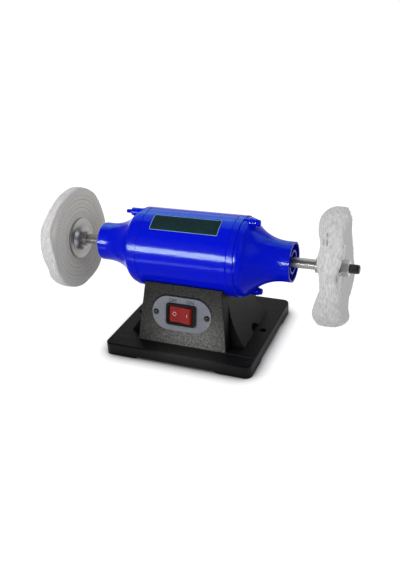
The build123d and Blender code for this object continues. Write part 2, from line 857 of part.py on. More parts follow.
# Windings: slot sides through the core and a rounded bundle of end turns on each face.
winding_height = winding_outer - winding_inner
bundle_round = min(winding_round, winding_height / 3)
with BuildPart() as stator_windings:
    with BuildSketch(across_shaft(1, -stator_half)):
        with PolarLocations(slot_middle, slot_count):
            Rectangle(slot_depth - 2 * slot_liner, slot_width - 2 * slot_liner)
    extrude(amount=stator_length)
    for side, name in sides:
        with BuildSketch(along_shaft(side)) as bundle:
            with Locations(
                (stator_half + winding_overhang / 2, (winding_inner + winding_outer) / 2)
            ):
                RectangleRounded(winding_overhang, winding_height, bundle_round)
            with Locations(
                (stator_half + winding_overhang / 4, (winding_inner + winding_outer) / 2)
            ):
                Rectangle(winding_overhang / 2, winding_height)
        revolve(axis=shaft_axis)
stator_windings.part.label = "stator_windings"
export_step(stator_windings.part, "parts/stator_windings.step")

# Rotor laminations on the shaft, with the cast cage through them.
rotor_radius = stator_bore - air_gap
with BuildPart() as rotor_core:
    with BuildSketch(across_shaft(1, -stator_half)):
        Circle(rotor_radius)
        Circle(rotor_seat_radius + seat_gap, mode=Mode.SUBTRACT)
        with PolarLocations(cage_bar_circle, cage_bar_count):
            Circle(cage_bar_radius + seat_gap, mode=Mode.SUBTRACT)
    extrude(amount=stator_length)
rotor_core.part.label = "rotor_core"
export_step(rotor_core.part, "parts/rotor_core.step")

with BuildPart() as rotor_cage:
    with BuildSketch(across_shaft(1, -stator_half)):
        with PolarLocations(cage_bar_circle, cage_bar_count):
            Circle(cage_bar_radius)
    extrude(amount=stator_length)
    for side, name in sides:
        with BuildSketch(across_shaft(side, stator_half)):
            Circle(rotor_radius - cage_setback)
            Circle(cage_ring_inner, mode=Mode.SUBTRACT)
        extrude(amount=cage_ring_width)
        fin_length = rotor_radius - cage_setback - cage_ring_inner - 2 * cage_setback
        with BuildSketch(across_shaft(side, stator_half + cage_ring_width)):
            with PolarLocations(
                cage_ring_inner + cage_setback + fin_length / 2, cage_fin_count
            ):
                Rectangle(fin_length, cage_fin_width)
        extrude(amount=cage_fin_height)
rotor_cage.part.label = "rotor_cage"
export_step(rotor_cage.part, "parts/rotor_cage.step")

# Stepped shaft: rotor seat, bearing journals, extensions and an arbor at each end.
with BuildPart() as shaft:
    with BuildSketch(along_shaft(1)):
        with BuildLine():
            Polyline(
                (0, rotor_seat_radius),
                (bearing_distance, rotor_seat_radius),
                (bearing_distance, journal_radius),
                (bearing_end + wave_washer_thickness, journal_radius),
                (bearing_end + wave_washer_thickness, extension_radius),
                (arbor_distance, extension_radius),
                (arbor_distance, arbor_radius),
                (shaft_end - arbor_chamfer, arbor_radius),
                (shaft_end, arbor_radius - arbor_chamfer),
                (shaft_end, 0),
                (0, 0),
                close=True,
            )
        make_face()
        mirror(about=Plane.YZ)
    revolve(axis=shaft_axis)
shaft.part.label = "shaft"
export_step(shaft.part, "parts/shaft.step")

# Ball bearings, one in each end bell.
bearing_middle = bearing_distance + bearing_width / 2
for side, name in sides:
    with BuildPart() as bearing_outer:
        with BuildSketch(along_shaft(side)):
            with Locations((bearing_middle, bearing_radius - land_height / 2)):
                Rectangle(bearing_width, land_height)
            with Locations((bearing_middle, bearing_pitch)):
                Circle(groove_radius, mode=Mode.SUBTRACT)
        revolve(axis=shaft_axis)
    bearing_outer.part.label = f"{name}_bearing_outer"
    export_step(bearing_outer.part, f"parts/{name}_bearing_outer.step")

    with BuildPart() as bearing_inner:
        with BuildSketch(along_shaft(side)):
            bore = journal_radius + seat_gap
            with Locations((bearing_middle, bore + (land_height - seat_gap) / 2)):
                Rectangle(bearing_width, land_height - seat_gap)
            with Locations((bearing_middle, bearing_pitch)):
                Circle(groove_radius, mode=Mode.SUBTRACT)
        revolve(axis=shaft_axis)
    bearing_inner.part.label = f"{name}_bearing_inner"
    export_step(bearing_inner.part, f"parts/{name}_bearing_inner.step")

    with BuildPart() as ball_set:
        with BuildSketch(across_shaft(side, bearing_middle - ball_cage_width / 2)):
            Circle(bearing_pitch + ball_cage_wall / 2)
            Circle(bearing_pitch - ball_cage_wall / 2, mode=Mode.SUBTRACT)
        extrude(amount=ball_cage_width)
        with Locations(across_shaft(side, bearing_middle)):
            with PolarLocations(bearing_pitch, ball_count):
                Cylinder(
                    ball_radius + ball_cage_gap,
                    2 * ball_radius,
                    rotation=(0, 90, 0),
                    mode=Mode.SUBTRACT,
                )
        with Locations(across_shaft(side, bearing_middle)):
            with PolarLocations(bearing_pitch, ball_count):
                Sphere(ball_radius)
    ball_set.part.label = f"{name}_ball_set"
    export_step(ball_set.part, f"parts/{name}_ball_set.step")

with BuildPart() as bearing_seals:
    seal_outer = bearing_radius - land_height - seat_gap
    seal_inner = journal_radius + land_height + free_gap
    for side, name in sides:
        for face in (
            bearing_distance + seal_inset,
            bearing_end - seal_inset - seal_thickness,
        ):
            with BuildSketch(across_shaft(side, face)):
                Circle(seal_outer)
                Circle(seal_inner, mode=Mode.SUBTRACT)
            extrude(amount=seal_thickness)
bearing_seals.part.label = "bearing_seals"
export_step(bearing_seals.part, "parts/bearing_seals.step")

with BuildPart() as wave_washer:
    with BuildSketch(across_shaft(-1, bearing_end)):
        Circle(bearing_radius)
        Circle(bearing_radius - wave_washer_width, mode=Mode.SUBTRACT)
    extrude(amount=wave_washer_thickness)
wave_washer.part.label = "wave_washer"
export_step(wave_washer.part, "parts/wave_washer.step")

# Clamp flanges and nuts on the arbors.
arbor_bore = arbor_radius + seat_gap
for side, name in sides:
    with BuildPart() as inner_flange:
        dome_start = arbor_distance + collar_length
        dome_end = dome_start + dome_length
        with BuildSketch(along_shaft(side)):
            with BuildLine():
                collar = Polyline(
                    (flange_face, arbor_bore),
                    (arbor_distance, arbor_bore),
                    (arbor_distance, collar_radius),
                    (dome_start, collar_radius),
                )
                dome = TangentArc(collar @ 1, (dome_end, dome_radius), tangent=(0, 1))
                Polyline(
                    dome @ 1,
                    (dome_end, flange_radius),
                    (flange_face, flange_radius),
                    (flange_face, arbor_bore),
                )
            make_face()
        revolve(axis=shaft_axis)
    inner_flange.part.label = f"{name}_inner_flange"
    export_step(inner_flange.part, f"parts/{name}_inner_flange.step")

    with BuildPart() as outer_flange:
        with BuildSketch(across_shaft(side, buff_end)):
            Circle(flange_radius)
            Circle(arbor_bore, mode=Mode.SUBTRACT)
        extrude(amount=outer_flange_thickness)
        rims = outer_flange.edges().filter_by(GeomType.CIRCLE).sort_by(SortBy.RADIUS)[-2:]
        fillet(rims.sort_by_distance((0, 0, shaft_height))[-1], outer_flange_edge)
    outer_flange.part.label = f"{name}_outer_flange"
    export_step(outer_flange.part, f"parts/{name}_outer_flange.step")

    with BuildPart() as arbor_nut:
        with BuildSketch(across_shaft(side, nut_seat)):
            RegularPolygon(nut_flats / 2, 6, major_radius=False)
            Circle(arbor_bore, mode=Mode.SUBTRACT)
        extrude(amount=nut_thickness)
        # Both faces are turned to a cone that leaves a round face as wide as the flats.
        nut_corner = nut_flats / 2 / cos(radians(30))
        cone_depth = (nut_corner - nut_flats / 2) * tan(radians(nut_chamfer))
        with BuildSketch(along_shaft(side)):
            with BuildLine():
                Polyline(
                    (nut_seat, 0),
                    (nut_seat, nut_flats / 2),
                    (nut_seat + cone_depth, nut_corner),
                    (nut_seat + nut_thickness - cone_depth, nut_corner),
                    (nut_seat + nut_thickness, nut_flats / 2),
                    (nut_seat + nut_thickness, 0),
                    close=True,
                )
            make_face()
        revolve(axis=shaft_axis, mode=Mode.INTERSECT)
    arbor_nut.part.label = f"{name}_arbor_nut"
    export_step(arbor_nut.part, f"parts/{name}_arbor_nut.step")

# Stitched buff on the left arbor: firm cloth with rows of stitching sunk into both faces.
buff_bore = arbor_radius + buff_bore_gap
with BuildPart() as stitched_buff:
    with BuildSketch(along_shaft(-1)):
        with BuildLine():
            low_rim = flange_face - stitched_swell
            high_rim = buff_end + stitched_swell
            body = Polyline(
                (high_rim, stitched_radius - stitched_round),
                (high_rim, stitched_hub + stitch_pitch),
                (buff_end, stitched_hub),
                (buff_end, buff_bore),
                (flange_face, buff_bore),
                (flange_face, stitched_hub),
                (low_rim, stitched_hub + stitch_pitch),
                (low_rim, stitched_radius - stitched_round),
            )
            low_round = JernArc(body @ 1, (0, 1), stitched_round, -90)
            flat = Line(low_round @ 1, (high_rim - stitched_round, stitched_radius))
            JernArc(flat @ 1, (1, 0), stitched_round, -90)
        make_face()
        for row in range(stitch_rows):
            row_radius = stitch_first + row * stitch_pitch
            for face in (low_rim, high_rim):
                with Locations((face, row_radius)):
                    Rectangle(2 * stitch_depth, stitch_width, mode=Mode.SUBTRACT)
    revolve(axis=shaft_axis)
stitched_buff.part.label = "stitched_buff"
export_step(stitched_buff.part, "parts/stitched_buff.step")


def fold_push(angle, folds):
    """Sum of what the folds add to a rim edge at an angle round the shaft."""
    total = 0.0
    for middle, spread, push in folds:
        away = (angle - middle + 180) % 360 - 180
        total += push * exp(-((away / spread) ** 2))
    return total


def loose_rim(angle):
    """Where the loose buff's motor-side and outer rim edges lie along the shaft at an angle."""
    swing = outer_edge_swing * cos(radians(angle - outer_edge_lean))
    return (
        motor_edge + fold_push(angle, motor_edge_folds),
        outer_edge + swing + fold_push(angle, outer_edge_folds),
    )


# Loose buff on the right arbor: cloth clamped flat at the hub, with a rim that splays in folds.
with BuildPart() as loose_buff:
    for start in (loose_seam, loose_seam + 180):
        for step in range(loose_sections // 2 + 1):
            angle = start + step * 360 / loose_sections
            turn_dir = (0, -cos(radians(angle)), sin(radians(angle)))
            normal = (0, sin(radians(angle)), cos(radians(angle)))
            rim_low, rim_high = loose_rim(angle)
            with BuildSketch(
                Plane(origin=(0, 0, shaft_height), x_dir=turn_dir, z_dir=normal)
            ):
                with BuildLine():
                    rim_start = loose_radius - loose_crown
                    Polyline(
                        (rim_start, rim_high),
                        (flange_radius, buff_end - seat_gap),
                        (flange_radius, flange_face + seat_gap),
                        (rim_start, rim_low),
                    )
                    ThreePointArc(
                        (rim_start, rim_low),
                        (loose_radius, (rim_low + rim_high) / 2),
                        (rim_start, rim_high),
                    )
                make_face()
        loft()
    with BuildSketch(across_shaft(1, flange_face)):
        Circle(loose_hub)
        Circle(buff_bore, mode=Mode.SUBTRACT)
    extrude(amount=buff_hub_thickness)
loose_buff.part.label = "loose_buff"
export_step(loose_buff.part, "parts/loose_buff.step")

# Switch plate, bezel with its body, and the rocker in it.
switch_plane = panel(switch_rise, -1)
with BuildPart() as switch_plate:
    with BuildSketch(switch_plane):
        SlotOverall(switch_plate_width, switch_plate_height)
    extrude(amount=switch_plate_thickness)
    front = switch_plate.faces().sort_by(Axis((0, 0, 0), switch_plane.z_dir))[-1]
    fillet(front.edges(), switch_plate_edge)
    with BuildSketch(switch_plane):
        Rectangle(switch_body_width + 2 * hole_gap, switch_body_height + 2 * hole_gap)
        with GridLocations(switch_screw_spacing, 0, 2, 1):
            Circle(small_screw_radius + hole_gap)
    extrude(amount=switch_plate_thickness, mode=Mode.SUBTRACT)
switch_plate.part.label = "switch_plate"
export_step(switch_plate.part, "parts/switch_plate.step")

with BuildPart() as switch_plate_screws:
    screw_seat = switch_plane.offset(switch_plate_thickness)
    with BuildSketch(screw_seat):
        with GridLocations(switch_screw_spacing, 0, 2, 1):
            Circle(small_head_radius)
    extrude(amount=small_head_height)
    domes = switch_plate_screws.faces().group_by(Axis((0, 0, 0), switch_plane.z_dir))[-1]
    fillet(domes.edges(), small_head_height / 2)
    with BuildSketch(screw_seat):
        with GridLocations(switch_screw_spacing, 0, 2, 1):
            Circle(small_screw_radius)
    extrude(amount=-switch_screw_length)
switch_plate_screws.part.label = "switch_plate_screws"
export_step(switch_plate_screws.part, "parts/switch_plate_screws.step")

bezel_seat = switch_plane.offset(switch_plate_thickness)
pivot_plane = switch_plane.offset(-pivot_depth)
room_width = 2 * (rocker_reach + free_gap)
room_height = rocker_height + 2 * free_gap
with BuildPart() as switch_housing:
    with BuildSketch(bezel_seat):
        RectangleRounded(bezel_width, bezel_height, bezel_corner)
    extrude(amount=bezel_thickness)
    front = switch_housing.faces().sort_by(Axis((0, 0, 0), switch_plane.z_dir))[-1]
    fillet(front.edges(), bezel_edge)
    with BuildSketch(bezel_seat.offset(bezel_thickness)):
        RectangleRounded(
            bezel_width - 2 * bezel_rim,
            bezel_height - 2 * bezel_rim,
            bezel_corner - bezel_rim / 2,
        )
    extrude(amount=-bezel_dish, mode=Mode.SUBTRACT)
    with BuildSketch(bezel_seat):
        Rectangle(switch_body_width, switch_body_height)
    extrude(amount=-switch_body_depth)
    # Room for the rocker, with a socket for its pivot in each long wall.
    with BuildSketch(bezel_seat.offset(bezel_thickness)):
        Rectangle(room_width, room_height)
    extrude(
        amount=-bezel_thickness
        - switch_plate_thickness
        - pivot_depth
        - rocker_skirt
        - rocker_room,
        mode=Mode.SUBTRACT,
    )
    with BuildSketch(
        Plane(
            origin=pivot_plane.origin,
            x_dir=pivot_plane.x_dir,
            z_dir=pivot_plane.y_dir,
        )
    ):
        Circle(pivot_radius + running_gap)
    extrude(
        amount=rocker_height / 2 + pivot_length + free_gap,
        both=True,
        mode=Mode.SUBTRACT,
    )
switch_housing.part.label = "switch_housing"
export_step(switch_housing.part, "parts/switch_housing.step")

# Rocker: two facets in a shallow V, ends turned about the pivot, at rest with its left end in.
half_throw = radians(rocker_throw / 2)
tilt = pivot_plane.x_dir * cos(half_throw) + pivot_plane.z_dir * sin(half_throw)
facet_slope = tan(half_throw)
facet_end = (
    sqrt(
        (rocker_rise * facet_slope) ** 2
        + (1 + facet_slope**2) * (rocker_reach**2 - rocker_rise**2)
    )
    - rocker_rise * facet_slope
) / (1 + facet_slope**2)
with BuildPart() as rocker:
    with BuildSketch(
        Plane(origin=pivot_plane.origin, x_dir=tilt, z_dir=pivot_plane.y_dir * -1)
    ):
        with BuildLine():
            tip = (facet_end, rocker_rise + facet_end * facet_slope)
            skirt = (sqrt(rocker_reach**2 - rocker_skirt**2), -rocker_skirt)
            Line((0, rocker_rise), tip)
            ThreePointArc(tip, (rocker_reach, 0), skirt)
            Line(skirt, (0, -rocker_skirt))
            mirror(about=Plane.YZ)
        make_face()
    extrude(amount=rocker_height / 2, both=True)
    sides_of_rocker = rocker.faces().filter_by(GeomType.PLANE)
    tops = sides_of_rocker.sort_by(Axis((0, 0, 0), switch_plane.z_dir))[-2:]
    fillet(tops.edges().filter_by(GeomType.LINE).filter_by(
        lambda edge: abs((edge @ 0.5 - pivot_plane.origin).dot(pivot_plane.x_dir)) > 1
    ), rocker_edge)
    with BuildSketch(
        Plane(
            origin=pivot_plane.origin,
            x_dir=pivot_plane.x_dir,
            z_dir=pivot_plane.y_dir,
        )
    ):
        Circle(pivot_radius)
    extrude(amount=rocker_height / 2 + pivot_length, both=True)
rocker.part.label = "rocker"
export_step(rocker.part, "parts/rocker.step")

with BuildPart() as switch_terminals:
    with BuildSketch(bezel_seat.offset(-switch_body_depth)):
        with GridLocations(blade_spacing_x, blade_spacing_y, 2, 2):
            Rectangle(blade_width, blade_thickness)
    extrude(amount=-blade_length)
switch_terminals.part.label = "switch_terminals"
export_step(switch_terminals.part, "parts/switch_terminals.step")
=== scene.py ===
"""Looks of a bench polishing machine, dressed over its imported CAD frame.

X runs along the shaft towards the loose buff, -Y faces the user and +Z is up. Sizes in the
classes are in millimetres, as in the part's source, and become metres as meshes are made.
Angles round the shaft run from the front (0) over the top (90), in degrees.
"""

import json
import logging
import math
import random
from dataclasses import dataclass, replace
from enum import Enum
from functools import cache, partial
from typing import Any, Callable

import bmesh
import bpy
from bmesh.types import BMesh
from bpy.types import Collection, Curve, Material, Mesh, Node, NodeSocket, NodeTree, Object, World
from mathutils import Matrix, Vector, noise
from mathutils.bvhtree import BVHTree

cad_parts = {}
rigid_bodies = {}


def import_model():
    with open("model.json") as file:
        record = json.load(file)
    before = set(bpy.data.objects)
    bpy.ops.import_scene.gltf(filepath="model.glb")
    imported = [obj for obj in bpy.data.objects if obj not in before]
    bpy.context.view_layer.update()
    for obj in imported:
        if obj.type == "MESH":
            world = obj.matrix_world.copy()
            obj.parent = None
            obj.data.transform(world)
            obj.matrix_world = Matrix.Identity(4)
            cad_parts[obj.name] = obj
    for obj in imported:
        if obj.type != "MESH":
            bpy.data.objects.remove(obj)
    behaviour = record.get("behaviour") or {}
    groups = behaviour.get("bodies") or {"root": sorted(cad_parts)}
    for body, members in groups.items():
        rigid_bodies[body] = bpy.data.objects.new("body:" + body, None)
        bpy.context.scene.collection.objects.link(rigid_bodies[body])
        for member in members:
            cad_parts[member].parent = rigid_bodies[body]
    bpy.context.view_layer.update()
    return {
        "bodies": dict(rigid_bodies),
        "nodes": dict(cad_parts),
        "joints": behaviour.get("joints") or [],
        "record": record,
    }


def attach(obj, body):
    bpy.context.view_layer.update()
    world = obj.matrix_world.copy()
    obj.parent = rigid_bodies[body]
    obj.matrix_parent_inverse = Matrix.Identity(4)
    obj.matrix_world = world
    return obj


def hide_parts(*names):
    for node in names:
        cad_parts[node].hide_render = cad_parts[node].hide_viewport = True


LOG = logging.getLogger("polisher")
CLOTH_PLACE = "cloth_place"
MM = 0.001
UP = Vector((0.0, 0.0, 1.0))
SHAFT_HEIGHT = 131.3
SHAFT_AXIS = Vector((1.0, 0.0, 0.0))
SHAFT_CENTRE = Vector((0.0, 0.0, SHAFT_HEIGHT * MM))
PANEL_LEAN = math.radians(14.4)
PANEL_OUT = Vector((0.0, -math.cos(PANEL_LEAN), math.sin(PANEL_LEAN)))
PANEL_UP = Vector((0.0, math.sin(PANEL_LEAN), math.cos(PANEL_LEAN)))
# How far out the panel lies from the origin, and how far from it the panel's painted light still
# reaches, in mm.
PANEL_REACH, PANEL_SKIN = 73.52, 0.6
BLACKENED_STEEL = "#3A3937"
# Points closer than this are joined.
WELD, FINE_WELD = 0.002 * MM, 0.001 * MM
# A Mix node's sockets for colours: how much of the second there is, the first and the second.
SHARE, FIRST, SECOND = 0, 6, 7
Link = Node | NodeSocket
AddNode = Callable[..., Node]
Rows = tuple[tuple[float, ...], ...]


def linear(code: str) -> tuple[float, float, float, float]:
    """Turns an sRGB hex colour into linear RGBA.

    Args:
        code: The colour as "#RRGGBB".

    Returns:
        Linear red, green and blue, with an alpha of 1.
    """
    shares = [int(code[i : i + 2], 16) / 255 for i in (1, 3, 5)]
    red, green, blue = (
        c / 12.92 if c <= 0.04045 else ((c + 0.055) / 1.055) ** 2.4 for c in shares
    )
    return red, green, blue, 1.0


def per_mm(size: float) -> float:
    """Gives the texture scale at which a feature is about this many millimetres across."""
    return 1 / (size * MM)


def bare_tree(owner: Material | World) -> NodeTree:
    """Turns a new material or world to nodes and takes out the ones that it starts with.

    Args:
        owner: The material or world.

    Returns:
        Its empty node tree.
    """
    owner.use_nodes = True
    owner.node_tree.nodes.clear()
    return owner.node_tree


def add_node(
    tree: NodeTree, kind: str, inputs: dict[str | int, Any] | None = None, **settings: Any
) -> Node:
    """Adds a shader node, with its settings, its socket values and its links.

    Args:
        tree: The node tree that gets the node.
        kind: The node's Blender type name, without the ShaderNode that all of them start with.
        inputs: Sockets by name or number. A socket as the value is linked, a node is linked by
            the first output that it has in use, and other values are set.
        **settings: The node's own properties.

    Returns:
        The new node.
    """
    node = tree.nodes.new("ShaderNode" + kind)
    for name, value in settings.items():
        setattr(node, name, value)
    for name, value in (inputs or {}).items():
        if isinstance(value, Node):
            value = next(output for output in value.outputs if output.enabled)
        if isinstance(value, NodeSocket):
            tree.links.new(value, node.inputs[name])
        else:
            node.inputs[name].default_value = value
    return node


def noise_round(angle: float, waves: float, seed: float) -> float:
    """Gives a smooth random value that closes on itself round the shaft.

    Args:
        angle: Degrees round the shaft.
        waves: How quickly the value changes with the angle.
        seed: Picks one of many such curves.

    Returns:
        A value between about -1 and 1.
    """
    turn = math.radians(angle)
    # An odd step between seeds keeps their curves apart.
    spot = Vector((waves * math.cos(turn), waves * math.sin(turn), seed * 7.31))
    return noise.noise(spot)


def around_shaft(x: float, radius: float, angle: float) -> Vector:
    """Gives a point by its place round the shaft.

    Args:
        x: Distance along the shaft, in mm.
        radius: Distance from its axis, in mm.
        angle: Degrees round it.

    Returns:
        The point, in metres.
    """
    turn = math.radians(angle)
    across, height = -radius * math.cos(turn), SHAFT_HEIGHT + radius * math.sin(turn)
    return Vector((x * MM, across * MM, height * MM))


def spin_profile(
    bm: BMesh, points: list[Any], axis: Vector, steps: int, cent: Any = (0.0, 0.0, 0.0),
    angle: float = math.tau, closed: bool = False, **options: Any,
) -> None:
    """Spins a line of points into a surface.

    Args:
        bm: The mesh that gets the surface.
        points: The line's points, in order.
        axis: Direction of the axis.
        steps: Divisions of the whole angle.
        cent: A point on the axis.
        angle: How far to spin, in radians. The ends of one full turn are joined.
        closed: Whether the line returns to its first point.
        **options: More of what bmesh's spin takes.
    """
    line = [bm.verts.new(point) for point in points]
    ends = line[1:] + line[:1] if closed else line[1:]
    edges = [bm.edges.new(pair) for pair in zip(line, ends)]
    bmesh.ops.spin(
        bm, geom=line + edges, cent=cent, axis=axis, angle=angle, steps=steps,
        use_merge=angle == math.tau, **options,
    )


def to_mesh(bm: BMesh, name: str) -> Mesh:
    """Turns a finished bmesh into a mesh.

    Args:
        bm: The bmesh. It is freed.
        name: The mesh's name.

    Returns:
        The mesh.
    """
    mesh = bpy.data.meshes.new(name)
    bm.to_mesh(mesh)
    bm.free()
    return mesh


def to_scene(name: str, data: Any) -> Object:
    """Puts a new object in the scene.

    Args:
        name: The object's name.
        data: Its mesh, light or camera.

    Returns:
        The object.
    """
    made = bpy.data.objects.new(name, data)
    bpy.context.scene.collection.objects.link(made)
    return made


def add_curve(bm: BMesh, curve: Curve, place: Matrix | None = None) -> None:
    """Adds a curve's mesh to a bmesh, and removes the curve.

    Args:
        bm: The mesh that gets the curve's faces.
        curve: The curve.
        place: Where to move it, if not where it is.
    """
    holder = bpy.data.objects.new(curve.name, curve)
    mesh = bpy.data.meshes.new_from_object(holder)
    if place:
        mesh.transform(place)
    bm.from_mesh(mesh)
    bpy.data.objects.remove(holder)
    bpy.data.curves.remove(curve)
    bpy.data.meshes.remove(mesh)


class Pattern(Enum):
    """How a surface was made, which sets the pattern that it shows."""

    SPRAYED = "orange peel"
    SAND_CAST = "pitted skin"
    TURNED = "rings round the shaft"
    PLATED = "mottled plating"
    MOULDED = "spark-eroded mould"
    ROLLED = "lines along the sheet"
    STACKED = "sheet edges"
    WOVEN = "warp and weft"
    FRAYED = "fibres along the rim"


@dataclass(frozen=True)
class Finish:
    """A real material with the pattern of how it was made."""

    name: str
    hue: str  # its main colour, as sRGB hex
    shade: str  # the colour that it drifts to
    pattern: Pattern
    grain: float  # width of one feature of the pattern
    relief: float  # depth of the pattern
    roughness: tuple[float, float]  # lowest and highest over the pattern
    blotch: float  # width of the colour's drift
    contrast: tuple[float, float] = (0.12, 0.40)  # pattern values of all hue and of all shade
    black_from: float = 0.0  # distance along the shaft beyond which it is blackened, or 0
    # Painted light: a lighter colour for the switch panel, which faces the lamps in front.
    panel_painted_light: str = ""  # the colour that it drifts to on the switch panel, where that differs
    metallic: float = 0.0
    specular: float = 0.5
    sheen: float = 0.0

    def lay(self, add: AddNode, place: Link) -> Link:
        """Lays the coordinates along the way that the surface was made.

        Args:
            add: Adds a node to the material.
            place: Object coordinates.

        Returns:
            The coordinates that the pattern is drawn in.
        """
        if self.pattern is Pattern.FRAYED:
            return add("Attribute", attribute_name=CLOTH_PLACE).outputs["Vector"]
        stretch = {Pattern.ROLLED: (0.04, 1.0, 1.0), Pattern.STACKED: (1.0, 0.01, 0.01)}
        if self.pattern in stretch:
            return add("Mapping", {"Vector": place, "Scale": stretch[self.pattern]})
        if self.pattern is not Pattern.TURNED:
            return place
        centred = add("Mapping", {"Vector": place, "Location": -SHAFT_CENTRE})
        across = add("VectorMath", {0: centred, 1: (0.0, 1.0, 1.0)}, operation="MULTIPLY")
        radius = add("VectorMath", {0: across}, operation="LENGTH")
        along = add("SeparateXYZ", {0: place})
        return add("CombineXYZ", {0: along, 1: radius})

    def height(self, add: AddNode, place: Link) -> Link:
        """Adds the nodes of the pattern.

        Args:
            add: Adds a node to the material.
            place: The coordinates that the pattern is drawn in.

        Returns:
            The pattern's height, from 0 to 1.
        """
        scale = per_mm(self.grain)
        if self.pattern is Pattern.WOVEN:
            # Blender's bands repeat every pi / 10 units at a scale of 1.
            bands = {"Vector": place, "Scale": math.pi / 10 * scale, "Distortion": 1.5, "Detail": 1.0}
            warp, weft = (add("TexWave", bands, bands_direction=way).outputs["Fac"] for way in "YZ")
            return add("Math", {0: warp, 1: weft}, operation="MULTIPLY")
        details = {Pattern.SPRAYED: 0.5, Pattern.STACKED: 0.0, Pattern.SAND_CAST: 1.5}
        detail = details.get(self.pattern, 3.0)
        return add("TexNoise", {"Vector": place, "Scale": scale, "Detail": detail})

    def colour(self, add: AddNode, place: Link, height: Link) -> Link:
        """Adds the nodes of the colour.

        Args:
            add: Adds a node to the material.
            place: The coordinates that the pattern is drawn in.
            height: The pattern's height.

        Returns:
            The colour.
        """
        broad = {"Vector": place, "Scale": per_mm(self.blotch), "Detail": 4.0}
        drift = add("TexNoise", broad)
        value = add("Math", {0: height, 1: drift}, operation="MULTIPLY")
        low, high = self.contrast
        spread = add("MapRange", {"Value": value, "From Min": low, "From Max": high})
        shade: Any = linear(self.shade)
        # Painted light: on the switch panel the shade colour is lighter, for the light that the
        # front-facing panel catches.
        if self.panel_painted_light:
            out = add("VectorMath", {0: place, 1: PANEL_OUT}, operation="DOT_PRODUCT")
            panel = {0: out, 1: PANEL_REACH * MM, 2: PANEL_SKIN * MM}
            painted_light_mask = add("Math", panel, operation="COMPARE")
            both = {SHARE: painted_light_mask, FIRST: shade, SECOND: linear(self.panel_painted_light)}
            shade = add("Mix", both, data_type="RGBA")
        both = {SHARE: spread, FIRST: linear(self.hue), SECOND: shade}
        colour = add("Mix", both, data_type="RGBA")
        if self.black_from:
            along = add("SeparateXYZ", {0: place})
            away = add("Math", {0: along}, operation="ABSOLUTE")
            past = add("Math", {0: away, 1: self.black_from * MM}, operation="GREATER_THAN")
            both = {SHARE: past, FIRST: colour, SECOND: linear(BLACKENED_STEEL)}
            colour = add("Mix", both, data_type="RGBA")
        return colour

    @cache
    def material(self) -> Material:
        """Builds the finish as a node material, on its first use.

        Returns:
            The finish's one material.
        """
        made = bpy.data.materials.new(self.name)
        add = partial(add_node, bare_tree(made))
        place = self.lay(add, add("TexCoord").outputs["Object"])
        height = self.height(add, place)
        low, high = self.roughness
        spread = {"Value": height, "From Min": 0.3, "From Max": 0.7, "To Min": low, "To Max": high}
        depth = {"Height": height, "Strength": 1.0, "Distance": self.relief * MM}
        values: dict[str | int, Any] = {
            "Base Color": self.colour(add, place, height),
            "Roughness": add("MapRange", spread),
            "Normal": add("Bump", depth),
            "Metallic": self.metallic,
            "Specular IOR Level": self.specular,
            "Sheen Weight": self.sheen,
        }
        if self.pattern is Pattern.TURNED:
            # Tool marks run round the shaft, so gloss spreads across them.
            values["Tangent"] = add("Tangent", direction_type="RADIAL", axis="X")
            values["Anisotropic"] = 0.8
            values["Anisotropic Rotation"] = 0.25
        surface = add("BsdfPrincipled", values)
        add("OutputMaterial", {"Surface": surface})
        return made


def make_piece(
    bm: BMesh, name: str, body: str, finishes: list[Finish], crease: float = 35.0
) -> Object:
    """Turns a finished bmesh into a piece that rides on a body.

    Args:
        bm: The mesh, in metres and in place. It is freed.
        name: The piece's name.
        body: The CAD body that carries the piece.
        finishes: Its finishes, in the order of the faces' material numbers.
        crease: Edges that turn by more degrees than this stay sharp.

    Returns:
        The new object.
    """
    bmesh.ops.recalc_face_normals(bm, faces=bm.faces[:])
    mesh = to_mesh(bm, name)
    mesh.polygons.foreach_set("use_smooth", [True] * len(mesh.polygons))
    mesh.set_sharp_from_angle(angle=math.radians(crease))
    for finish in finishes:
        mesh.materials.append(finish.material())
    piece = to_scene(name, mesh)
    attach(piece, body)
    LOG.info("%s rides on %s with %d faces", name, body, len(mesh.polygons))
    return piece


# Patterns that are too fine to show in the render are drawn as coarse as they need to show: orange
# peel, the cast skin, tool marks, moulded textures, weave and fibres.

# Black stoved enamel over a sand-cast skin: satin, with a pitted grain that catches light. On the switch
# panel the same casting drifts to a lighter colour, painted light for the panel that faces the lamps in
# front, so its grain stands out more.
CASTING_ENAMEL = Finish(
    "stoved_enamel_on_cast_iron", "#050505", "#0F0F0E", Pattern.SAND_CAST,
    grain=1.4, relief=0.35, roughness=(0.38, 0.56), blotch=2.4, contrast=(0.04, 0.50),
    specular=0.13, panel_painted_light="#383837",
)
# Sprayed gloss enamel on a rolled tube: deep blue with a faint orange peel.
BLUE_ENAMEL = Finish(
    "gloss_enamel_on_rolled_tube", "#0210C8", "#0514BC", Pattern.SPRAYED,
    grain=6.0, relief=0.003, roughness=(0.12, 0.15), blotch=60.0, specular=0.04,
)
# The same enamel over a casting: the skin below waves the gloss a little more.
BELL_ENAMEL = Finish(
    "gloss_enamel_on_casting", "#0210C6", "#0616B6", Pattern.SPRAYED,
    grain=4.0, relief=0.008, roughness=(0.12, 0.18), blotch=40.0, specular=0.04,
)
# Turned and polished mild steel: bright, with fine rings round the shaft and blackened ends.
SHAFT_STEEL = Finish(
    "turned_polished_steel", "#A8A7A4", "#989794", Pattern.TURNED,
    grain=0.9, relief=0.001, roughness=(0.26, 0.32), blotch=14.0, metallic=1.0, black_from=214.0,
)
